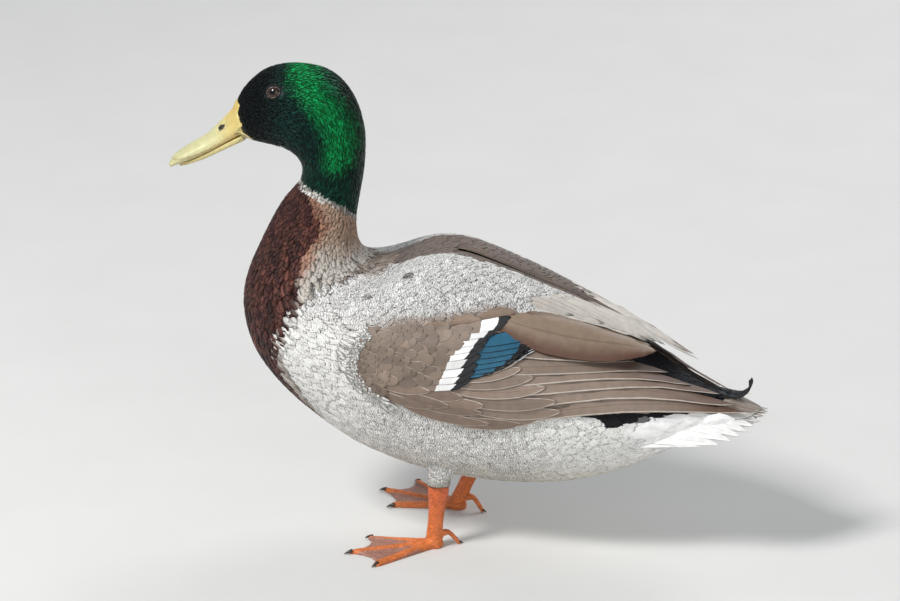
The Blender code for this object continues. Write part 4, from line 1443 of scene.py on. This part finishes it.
def tail_surface():
    """The top of the tail, by how far along it (0 to 1) and across it (-1 to 1)."""
    tree = tree_of("tail")
    along, across = np.linspace(0, 1, 41), np.linspace(-1, 1, 41)
    points = np.full((41, 41, 3), np.nan)
    for j, share in enumerate(across):
        x = share * (TAIL_HALF - 0.4)
        rows = np.arange(TAIL_START, TAIL_BEYOND, 0.5)
        down = [(y, tree.ray_cast(Vector((x, y, OVERHEAD)), Vector((0, 0, -1)))[0]) for y in rows]
        hits = np.array([(y, hit.z) for y, hit in down if hit])
        line = np.polyfit(hits[:, 0], hits[:, 1], 1)
        y = TAIL_START + (hits[-1, 0] - TAIL_START) * along
        z = np.where(y >= hits[0, 0], np.interp(y, hits[:, 0], hits[:, 1]), np.polyval(line, y))
        points[:, j] = np.stack([np.full(41, x), y, z], axis=-1)
    return Surface(blurred(points, 2, wrap=False), along, across)


def tail_feathers(top):
    """The white feathers: a fan of two layers, those over its root, and its outermost ones."""
    count = 16
    across = np.linspace(-0.93, 0.93, count)
    away = np.abs(across)
    root = pairs(0.02, across * (0.4 + 0.5 * away**2))
    tip = pairs(1.0 - 0.02 * rng.uniform(0, 1, count), across)
    tint = blend(ease(away, 0.42, 0.2), WHITE, TAIL_GREY)
    above, below = -0.7 + 0.7 * (1 - away), -1.6 + 0.3 * away
    parts = [
        lay(top, POINTED, root, tip, 11.0, tint, low=-0.6, high=above, thick=0.2, camber=0.02),
        lay(top, POINTED, root, tip - (0.02, 0), 11.0, tint, low=-1.2, high=below, thick=0.2),
    ]
    angle = np.array([-74, 74, -56, 56, -37, 37, -18, 18, 0])
    root = pairs(RUMP_END + 0.02, angle)
    tip = pairs(TAIL_ROOT + np.linspace(0.45, 0.57, 9), angle * 0.75)
    tint = blend(ease(np.abs(angle), 90, 60), WHITE, TAIL_GREY)
    parts.append(lay(BODY, POINTED, root, tip, 10.0, tint, low=-3.0, high=np.linspace(0.6, 1.2, 9),
                     thick=0.15, camber=0.02, rise=0.5))
    reach = np.array([0.5, 0.62, 0.74, 0.86])
    for side in SIDES.values():
        root, tip = pairs(np.full(4, -0.02), 1.0 * side), pairs(reach, 1.0 * side)
        high = -3.4 + 3 * reach
        parts.append(lay(top, POINTED, root, tip, 9.0, WHITE, low=-1.5, high=high, thick=0.2, camber=0.02))
    return parts


def tail_covers(top, count=900):
    """The black feathers over and under the tail's root."""
    u, across = rng.uniform(-0.05, 0.30, count), rng.uniform(-0.9, 0.9, count)
    root = pairs(u, across * (0.42 + 0.3 * u))
    root = root[u < 0.30 - 0.28 * np.abs(across)]
    tip = root + pairs(rng.uniform(0.12, 0.17, len(root)), root[:, 1] * 0.18)
    high = rng.uniform(0.2, 0.6, len(root))
    over = lay(top, CONTOUR, root, tip, 4.2, BLACK, low=0.0, high=high, thick=0.1)
    u, across = rng.uniform(-0.05, 0.26, count), rng.uniform(-1, 1, count)
    root = pairs(u, across * (0.25 + 0.3 * u))
    tip = root + pairs(rng.uniform(0.12, 0.18, count), root[:, 1] * 0.2)
    high = -2.0 - rng.uniform(0.1, 0.8, count)
    return [over, lay(top, LOOSE, root, tip, 4.0, BLACK, low=-2.0, high=high, thick=0.1)]


def add_tail():
    """The tail, with the black feathers over and under its root."""
    top = tail_surface()
    white = plumage("tail_feathers", edge=(0.80, 0.78, 0.75), edge_from=0.7, shaft=(0.5, 0.46, 0.42),
                    barbs=0.05, spread=0.05, Roughness=0.6)
    add_coat("tail_coat", tail_feathers(top), white, ["tail"])
    black = plumage("black_feathers", barbs=0.3, spread=0.3, Roughness=0.5, Specular_IOR_Level=0.2)
    add_coat("tail_cover_coat", tail_covers(top), black)


CURL_COLOURS = (0.004, 0.004, 0.005), (0.014, 0.014, 0.017)


def add_curls():
    """The two curled feathers over the tail, rounded from their solids."""
    w = Wiring("curl_feathers", Roughness=0.6, Specular_IOR_Level=0.25)
    streaks = w.noise(0.5, 2.0, 0.5, w.stretched(1.0, 0.1, 0.2))
    material = w.finish(w.mix(streaks, *CURL_COLOURS), w.bump(streaks, 0.1))
    for name in SIDES:
        curl = smoothed_copy("curl_feather_" + name, "curl_" + name)
        finish_piece(curl, material, ["curl_" + name])


add_tail()
add_curls()


# ---------------------------------------------------------------- bill

UPPER_SPINE = [
    # top             edge
    ((-143.6, 261.3), (-137.5, 244.6)),
    ((-160.3, 243.0), (-156.8, 233.3)),
    ((-176.5, 232.0), (-174.8, 224.6)),
    ((-184.5, 223.4), (-183.9, 220.9)),
]
HORN_START = 12      # the first ring that lies clear of the bill's end face
HORN_TURN = [0, 15, 30, 45, 60, 75, 90, 105, 120, 135, 150, 165, 180]  # angles round the bill
HORN_ANGLES = [0, 20, 36, 44, 52, 64, 80, 92, 104, 126, 144, 160, 180]  # the same, round the head
NOSTRIL = (6.0, -150.2, 248.7)
NOSTRIL_HALF = (2.6, 1.5)   # half its length and height
NOSTRIL_DEPTH = 1.7
NOSTRIL_RIM = 0.3
GROOVE_HALF = 0.45
GROOVE_DEPTH = 0.25
NAIL_HEIGHT = 0.35
LOWER_RAISED = 1.5          # how far the lower bill's upper face is raised, to meet the upper bill
BILL_GROOVE = [(-180.0, 227.4), (-172.0, 229.4), (-164.3, 232.2), (-156.0, 236.5)]  # seen from the side
GAPE = [(-141.5, 246.9), (-136.5, 246.2), (-130.0, 243.5)]  # the corner of the mouth, likewise
GAPE_HALF = 1.9      # half the width of its strip of skin
GAPE_LIFT = 0.32     # how far it stands off the head
GAPE_SUNK = 0.8      # and how far it reaches in
BILL_SLOPE = np.array([0, -16.7, -18.3]) / 24.8  # the way its ridge runs by the nostril
BILL_BASE = (0.56, 0.43, 0.14)
BILL_END = (0.54, 0.51, 0.27)
BILL_RIDGE = (0.50, 0.30, 0.06)
BILL_RIM = (0.70, 0.55, 0.22)
# Painted shade in the bill's groove.
GROOVE_SHADE = (0.20, 0.16, 0.07)
# Painted shade inside the nostril's pit.
NOSTRIL_SHADE = (0.012, 0.010, 0.008)
NAIL = (0.55, 0.47, 0.25)
# Painted shade under the upper bill and in the mouth's crease.
MOUTH_SHADE = (0.12, 0.08, 0.03)
LOWER_BILL = (0.56, 0.47, 0.21)
# Painted shade inside the lower bill, under the upper one.
LOWER_INSIDE_SHADE = (0.14, 0.09, 0.03)
GAPE_SKIN = (0.56, 0.45, 0.19)


def bill_grid():
    """The upper bill, all round, from its root to its end."""
    places, angles = np.arange(0.0, 2.975, 0.0125), np.arange(0, 360, 3.0)
    middle, rays = rib_axes(UPPER_SPINE, places, angles)
    radius = reaches(tree_of("bill_upper"), reach_from_inside, middle, rays)
    points = middle[:, None] + rays * blurred(radius, 4, wrap=True)[..., None]
    return Surface(points, places, angles, closed=True)


def bill_root(surface):
    """Four rings from under the feathers behind the bill to its first clear ring."""
    folded = from_back(surface.angles)
    round_head = np.interp(folded, HORN_TURN, HORN_ANGLES)
    own = np.where(surface.angles > 180, 360 - round_head, round_head)
    edge_place = np.interp(round_head, FEATHER_ANGLES, FEATHER_PLACES)
    outside = np.where(folded > 112, -1.5, 0.4)
    last = BODY.at(pairs(edge_place, own), outside)
    sunk = BODY.at(pairs(edge_place + 0.06, own), np.full(len(own), -1.5))
    return sunk, last


def add_upper_bill():
    """The upper bill, with its nostrils, grooves and nail."""
    surface = bill_grid()
    points, normals = surface.points, surface.normals
    place = np.broadcast_to(surface.places[:, None], points.shape[:2])
    folded = from_back(surface.angles)[None]
    mirrored = np.abs(points) * (1, -1, 1)

    away = mirrored - mirrored.reshape(-1, 3)[np.linalg.norm(mirrored - NOSTRIL, axis=-1).argmin()]
    along = away @ BILL_SLOPE
    off = np.sqrt(np.maximum((away**2).sum(axis=-1) - along**2, 0))
    oval = np.sqrt((along / NOSTRIL_HALF[0]) ** 2 + (off / NOSTRIL_HALF[1]) ** 2)
    pit = ease(oval, 1.1, 0.55)
    rim = np.exp(-(((oval - 1.45) / 0.4) ** 2))
    side_view = mirrored.reshape(-1, 3)[:, 1:]
    groove = np.exp(-((distance_to_line(side_view, BILL_GROOVE) / GROOVE_HALF) ** 2)).reshape(place.shape)
    groove = groove * ease(mirrored[..., 0], 3.5, 5.0)
    nail = ease(mirrored[..., 0], 4.6, 3.6) * ease(place, 2.62, 2.72) * ease(folded, 95, 80)
    height = -NOSTRIL_DEPTH * pit + NOSTRIL_RIM * rim - GROOVE_DEPTH * groove + NAIL_HEIGHT * nail
    points = (points + normals * height[..., None])[HORN_START:]
    sunk, last = bill_root(surface)
    joint = [(2 * last + points[0]) / 3, (last + 2 * points[0]) / 3]
    points = np.concatenate([np.stack([sunk, last, *joint]), points])

    colour = blend(ease(place, 0.1, 0.9) * np.ones_like(height), BILL_BASE, BILL_END)
    colour = blend(0.35 * ease(place, 0.5, 0.0) * ease(folded, 60, 20), colour, BILL_RIDGE)
    colour = blend(0.5 * ease(folded, 96, 110) * ease(place, 2.4, 1.0), colour, BILL_RIM)
    # The groove painted darker: painted shade in its hollow.
    colour = blend(0.55 * groove, colour, GROOVE_SHADE)
    # The nostril's pit painted near black: painted shade in the hole.
    colour = blend(ease(oval, 1.15, 0.85), colour, NOSTRIL_SHADE)
    colour = blend(0.4 * nail, colour, NAIL)
    # Under the upper bill: painted shade.
    colour = blend(0.8 * ease(folded, 150, 160) * np.ones_like(height), colour, MOUTH_SHADE)
    colour = np.concatenate([np.repeat(colour[:1], 4, axis=0), colour[HORN_START:]])
    bill = make_mesh("bill_horn", *grid_mesh(points))
    paint_grid(bill, colour)
    finish_piece(bill, horn("bill_horn"), ["bill_upper"])


def add_lower_bill():
    """The lower bill, raised to the upper one, with painted shade inside, under the upper bill."""
    low = smoothed_copy("lower_bill", "bill_lower")
    spots = points_of(low)
    facing = np.array([vertex.normal.z for vertex in low.data.vertices])
    spots[:, 2] += LOWER_RAISED * ease(facing, -0.3, 0.3) * ease(spots[:, 1], -184, -178)
    low.data.vertices.foreach_set("co", (spots * MM).ravel())
    # Its upward-facing inside is painted darker: painted shade under the upper bill.
    inner = ease(np.abs(spots[:, 0]), 7.0, 5.0) * ease(facing, 0.2, 0.7)
    paint(low, "tint", blend(0.3 * inner, np.broadcast_to(LOWER_BILL, spots.shape), LOWER_INSIDE_SHADE))
    finish_piece(low, horn("lower_bill_horn"), ["bill_lower"])


def add_gape(name, side):
    """The strip of yellow skin that runs back from the corner of the mouth over the cheek."""
    tree = tree_of("head", "bill_upper", "bill_lower")
    line = along_line(GAPE, 25)
    share = np.linspace(0, 1, 25)
    half = GAPE_HALF * np.sin(math.pi * np.clip(share * 0.62 + 0.38, 0, 1)) ** 0.8
    across = unit(pairs(-np.gradient(line[:, 1]), np.gradient(line[:, 0])))
    steps = np.linspace(-1, 1, 9)
    shell = []
    for lift, order in ((GAPE_LIFT, steps), (-GAPE_SUNK, steps[::-1])):
        rows = []
        for spot, way, width in zip(line, across, half):
            row = []
            for step in order:
                y, z = spot + way * step * width
                hit = tree.ray_cast(Vector((40.0 * side, y, z)), Vector((-side, 0, 0)))[0]
                x = abs(hit.x) if hit else 9.0
                row.append((side * (x + lift - 0.25 * step**2), y, z))
            rows.append(row)
        shell.append(np.array(rows))
    shell = np.concatenate(shell, axis=1)
    shell[:, :, 0] = blurred(shell[:, :, 0][..., None], 1, wrap=True)[..., 0]
    piece = make_mesh("gape_" + name, *grid_mesh(shell))
    # The crease down the middle of the strip is painted dark: painted shade in the mouth's line.
    crease = np.exp(-(((np.concatenate([steps, steps[::-1]]) + 0.1) / 0.28) ** 2))
    paint_grid(piece, blend(0.75 * crease[None] * np.ones((25, 1)), GAPE_SKIN, MOUTH_SHADE))
    finish_piece(piece, horn("gape_skin_" + name))


def horn(name):
    """Satin horn or bare skin, a little mottled."""
    w = Wiring(name, Roughness=0.42, Coat_Weight=0.15, Coat_Roughness=0.3, Subsurface_Weight=0.08)
    colour = w.blotched(w.tint(), 3.5, 0.93, 1.05, detail=4.0, low=0.35, high=0.65)
    colour = w.blotched(colour, 0.6, 1.0, 0.85, detail=2.0, low=0.58)
    return w.finish(colour, w.bump(w.noise(0.9, 3.0), 0.06, 0.5))


add_upper_bill()
add_lower_bill()
for side_name, side_way in SIDES.items():
    add_gape(side_name, side_way)


# ---------------------------------------------------------------- eyes and lids

PUPIL = (0.002, 0.002, 0.003)
IRIS = (0.034, 0.014, 0.008)
EYE_RIM = (0.006, 0.004, 0.003)
LID_DARK = (0.007, 0.010, 0.010)
LID_PALE = (0.21, 0.165, 0.15)
LID_RIM = [(-3, 4.6), (-1, 5.0), (1.0, 5.14), (3.5, 5.16), (6, 5.04)]  # past the opening, from the middle
# Out from the rim: how far, the share of its height that is kept, and how deep it is sunk.
LID_SLOPE = [(0.5, 0.62, 0.1), (1.2, 0.25, 0.2), (2.0, 0.0, 0.45), (3.0, 0.0, 1.2)]
LID_PALENESS = [0.0, 0.35, 0.9, 0.7, 0.1, 0, 0, 0, 0, 0, 0, 0]


def round_out(centre, axes, turn, polar, radius):
    """Points on a ball round the eye's centre, by a turn from ahead through up and an angle from
    straight out."""
    out, ahead, up = axes
    ring = np.cos(turn)[..., None] * ahead + np.sin(turn)[..., None] * up
    way = np.cos(polar)[..., None] * out + np.sin(polar)[..., None] * ring
    return centre + way * np.asarray(radius)[..., None]


def add_eyeball(name):
    """A ball with a pupil and a dark brown iris, painted by the angle from straight out."""
    middle, *axes = EYE_AXES[name]
    centre = middle - axes[0] * EYE_DEPTH
    turn = np.radians(np.arange(0, 360, 6.0))[None]
    polar = np.radians(np.concatenate([np.arange(0.5, 60, 1.5), np.arange(60, 179.5, 6.0)]))[:, None]
    turn, polar = np.broadcast_arrays(turn, polar)
    points = round_out(centre, axes, turn, polar, np.full(turn.shape, EYE_RADIUS))
    ball = make_mesh("eyeball_" + name, *grid_mesh(points))
    degrees = np.degrees(polar)
    colour = blend(ease(degrees, 21, 23), PUPIL, IRIS)
    paint_grid(ball, blend(ease(degrees, 38, 46), colour, EYE_RIM))
    w = Wiring("eye_" + name, Roughness=0.04, Specular_IOR_Level=0.25, Coat_Weight=0.35, Coat_Roughness=0.02)
    finish_piece(ball, w.finish(w.blotched(w.tint(), 0.5, 0.7, 1.2)), ["eye_" + name])


def add_lids(name):
    """The bare rim round the eye, longer than high and drawn out at its corners, down to the head."""
    middle, *axes = EYE_AXES[name]
    out, ahead, up = axes
    centre = middle - out * EYE_DEPTH
    turn = np.radians(np.arange(0, 360, 4.0))
    corner = np.abs(np.cos(turn)) ** 8
    opening = 38 + 13 * np.cos(turn) ** 2 + 6 * corner * (np.cos(turn) > 0) + 3 * corner * (np.cos(turn) < 0)
    opening -= 3 * ease(np.sin(turn), 0.2, 0.9)
    rows = []
    for past, radius in LID_RIM:
        rows.append(round_out(centre, axes, turn, np.radians(opening + past), np.full(len(turn), radius)))
    around = np.cos(turn)[:, None] * ahead + np.sin(turn)[:, None] * up
    off = ((rows[-1] - centre) * around).sum(axis=1)
    height = (rows[-1] - middle) @ out
    for step, kept, sunk in LID_SLOPE:
        far = off + step
        level = kept * height - (1 - kept) * far**2 / 38 - sunk
        rows.append(middle + far[:, None] * around + level[:, None] * out)
    rows += [middle + 4.0 * around - 4.0 * out, centre + 3.0 * around, rows[0]]
    piece = make_mesh("lids_" + name, *grid_mesh(np.stack(rows), caps=False))
    pale = np.array(LID_PALENESS)[:, None] * np.ones(len(turn))
    paint(piece, "tint", blend(pale, LID_DARK, LID_PALE).reshape(-1, 3))
    w = Wiring("lids_" + name, Roughness=0.6, Specular_IOR_Level=0.2)
    colour = w.blotched(w.tint(), 1.2, 0.25, 1.3, detail=2.0, low=0.35, high=0.65)
    finish_piece(piece, w.finish(colour, w.bump(w.noise(0.35, 2.0), 0.08)))


for side_name in SIDES:
    add_eyeball(side_name)
    add_lids(side_name)


# ---------------------------------------------------------------- legs and feet

ORANGE = (0.78, 0.20, 0.045)
ORANGE_ABOVE = (0.72, 0.15, 0.04)
RED_BEHIND = (0.45, 0.10, 0.06)
WEB_GREY = (0.34, 0.20, 0.17)
CLAW_DARK = (0.02, 0.014, 0.010)
CLAW_LIGHT = (0.06, 0.04, 0.03)
JOINT_RADIUS = 5.0
JOINT_SHAPE = (0.72, 1.0, 0.9)  # how wide, long and high a joint is, for its radius
LEG_PROUD = 0.15     # the scales stand this far off the solids


def claw(base, heading, length, radius, down):
    """A small curved cone from inside a toe's tip."""
    share = np.linspace(0, 1, 10)[:, None]
    turn = np.linspace(0, 2 * math.pi, 12, endpoint=False)[None]
    ahead, side = np.array([heading[0], heading[1], 0.0]), np.array([-heading[1], heading[0], 0.0])
    bend = share * length
    drop = down * share**2
    r = radius * (1 - share) ** 0.7 + 0.08
    points = (np.asarray(base) + bend[..., None] * ahead - drop[..., None] * (0, 0, 1)
              + (r * np.cos(turn))[..., None] * side + (r * np.sin(turn))[..., None] * (0, 0, 1))
    return grid_mesh(points)


def leg_joints(name, tarsus, hind):
    """What rounds a leg's joints: a ball at the ankle and at the foot, and a rod to the hind toe."""
    low, high = (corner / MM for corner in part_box("tarsus_" + name))
    joints = []
    for level in (low.z + 1.5, high.z):
        near = tarsus[np.abs(tarsus[:, 2] - level) < 2.5]
        joints.append(ball_mesh(near.mean(axis=0) - (0, 0, 1.0), JOINT_RADIUS * np.array(JOINT_SHAPE)))
    start = hind[hind[:, 2] > hind[:, 2].max() - 1.5].mean(axis=0)
    middle = joints[0][0].mean(axis=0)
    joints.append(rod_mesh(start - (0, 0, 1.2), middle + (0, 0, 2.0), 2.0))
    return joints


def add_leg(name):
    """The shank, foot and hind toe as one skin, with its joints rounded."""
    names = ["tarsus_" + name, "foot_" + name, "hallux_" + name]
    meshes = [node_mesh(one) for one in names]
    tarsus, foot, hind = (points for points, _ in meshes)
    meshes += leg_joints(name, tarsus, hind)
    leg = remeshed(joined_meshes("leg_skin_" + name, meshes), voxel=0.7, smooth=3)
    points = points_of(leg)
    points = points + normals_of(leg) * LEG_PROUD * ease(points[:, 2], 0.3, 1.0)[:, None]
    points[:, 2] = np.maximum(points[:, 2], 0.02)
    move_points(leg, points)
    paint(leg, "tint", leg_colours(points, foot))
    finish_piece(leg, scaly("leg_scales_" + name), names)
    add_claws(name, foot, hind)


def add_claws(name, foot, hind):
    """A claw on each toe and on the hind toe."""
    heel = foot_centre(foot)
    claws = []
    for tip in toe_tips(foot, heel):
        way = (tip - heel) / np.linalg.norm(tip - heel)
        claws.append(claw((*(tip - way * 2.2), 1.9), way, length=5.0, radius=1.25, down=1.5))
    back = hind[hind[:, 2] < 1.0].mean(axis=0)
    way = back[:2] - heel
    claws.append(claw((*back[:2], 1.5), way / np.linalg.norm(way), length=2.6, radius=0.9, down=1.0))
    piece = joined_meshes("claws_" + name, claws)
    w = Wiring("claw_horn_" + name, Roughness=0.35)
    finish_piece(piece, w.finish(w.mix(w.noise(1.5), CLAW_DARK, CLAW_LIGHT)))


def foot_centre(foot):
    """Where the shank meets the foot: the middle of its highest part."""
    return foot[foot[:, 2] > foot[:, 2].max() - 0.2][:, :2].mean(axis=0)


def toe_tips(foot, heel):
    """The three outermost points of the web, one for each toe."""
    flat = foot[:, :2] - heel
    turn = np.degrees(np.arctan2(flat[:, 0], -flat[:, 1]))
    tips = []
    for k in np.linalg.norm(flat, axis=1).argsort()[::-1]:
        if len(tips) < 3 and all(abs(turn[k] - turn[j]) > 15 for j in tips):
            tips.append(k)
    return [foot[k, :2] for k in tips]


def leg_colours(points, foot):
    """Orange, redder behind and above, with grey webs between the toes."""
    heel = foot_centre(foot)
    flat = points[:, :2] - heel
    toe = np.zeros(len(points))
    for tip in toe_tips(foot, heel):
        way = (tip - heel) / np.linalg.norm(tip - heel)
        off = np.abs(flat @ np.array([-way[1], way[0]]))
        toe = np.maximum(toe, ease(off, 3.4, 1.8) * (flat @ way > 0))
    far = np.linalg.norm(flat, axis=1)
    web = (1 - toe) * ease(far, 9, 14) * ease(points[:, 2], 6, 4) * ease(-flat[:, 1], -2, 6)
    behind = ease(flat[:, 1], 6, 16) * ease(points[:, 2], 20, 36)
    colour = blend(ease(points[:, 2], 5, 38), ORANGE, ORANGE_ABOVE)
    colour = blend(0.6 * behind, colour, RED_BEHIND)
    return blend(0.8 * web, colour, WEB_GREY)


def scaly(name):
    """Skin with small scales, and larger ones drawn out across the shank."""
    w = Wiring(name, Roughness=0.45, Subsurface_Weight=0.05)
    seams = []
    for where, size_mm in ((w.where(), 1.3), (w.stretched(0.35, 0.35, 1.0), 2.0)):
        cells = {"Vector": where, "Scale": 1 / (size_mm * MM)}
        seams.append(w.node("TexVoronoi", cells, feature="DISTANCE_TO_EDGE").outputs[0])
    seam = w.math("MINIMUM", w.step(seams[0], 0.0, 0.14), w.step(seams[1], 0.0, 0.10, 0.3, 1.0))
    colour = w.mix(seam, w.dim(w.tint(), 0.55), w.tint())
    return w.finish(w.blotched(colour, 4.0, 0.85, 1.1), w.bump(seam, 0.18, 0.6))


for side_name in SIDES:
    add_leg(side_name)


# ---------------------------------------------------------------- stage, light and camera

DUCK_MIDDLE = Vector((0.0, 0.0, 0.14))  # in metres, as everything here
FLOOR_GREYS = (0.62, 0.61, 0.59), (0.66, 0.65, 0.63)
SKY = (0.80, 0.86, 0.92, 1.0)


def add_stage(size=3.0):
    """A pale floor under the duck, in metres."""
    points = np.array([(x * size, y * size, 0.0) for x, y in ((-1, -1), (1, -1), (1, 1), (-1, 1))]) / MM
    floor = make_mesh("floor", points, np.array([[0, 1, 2], [0, 2, 3]]))
    w = Wiring("pale_floor", Roughness=0.75)
    floor.data.materials.append(w.finish(w.mix(w.noise(60.0), *FLOOR_GREYS)))


def add_light(name, place, size, power):
    """A square light that faces the middle of the duck, in metres and watts."""
    light = bpy.data.lights.new(name, "AREA")
    light.size, light.energy = size, power
    obj = bpy.data.objects.new(name, light)
    obj.location = place
    obj.rotation_euler = (DUCK_MIDDLE - Vector(place)).to_track_quat("-Z", "Y").to_euler()
    bpy.context.scene.collection.objects.link(obj)


def add_camera():
    """Upright, looking at the duck's left side from above and a little from behind."""
    azimuth, elevation, distance, view_width = math.radians(102), math.radians(20), 3.5, 0.54
    target = Vector((0.0, -0.0121, 0.147))
    away = Vector((math.sin(azimuth) * math.cos(elevation), -math.cos(azimuth) * math.cos(elevation),
                   math.sin(elevation)))
    camera = bpy.data.cameras.new("camera")
    camera.sensor_width = 36.0
    camera.lens = camera.sensor_width * distance / view_width
    camera.clip_end = 50.0
    obj = bpy.data.objects.new("camera", camera)
    obj.location = target + away * distance
    obj.rotation_euler = (-away).to_track_quat("-Z", "Y").to_euler()
    bpy.context.scene.collection.objects.link(obj)
    bpy.context.scene.camera = obj


def add_sky():
    """An even, faintly blue light from all round."""
    world = bpy.data.worlds.new("studio")
    world.use_nodes = True
    background = world.node_tree.nodes["Background"]
    background.inputs["Color"].default_value = SKY
    background.inputs["Strength"].default_value = 0.42
    bpy.context.scene.world = world


add_stage()
add_sky()
add_light("key", (1.2, -1.1, 1.9), size=0.6, power=56.0)
add_light("fill", (1.9, 1.2, 0.9), size=1.4, power=12.0)
add_light("back", (-1.6, 0.6, 1.4), size=1.0, power=16.0)
add_camera()
bpy.context.scene.view_settings.view_transform = "Standard"
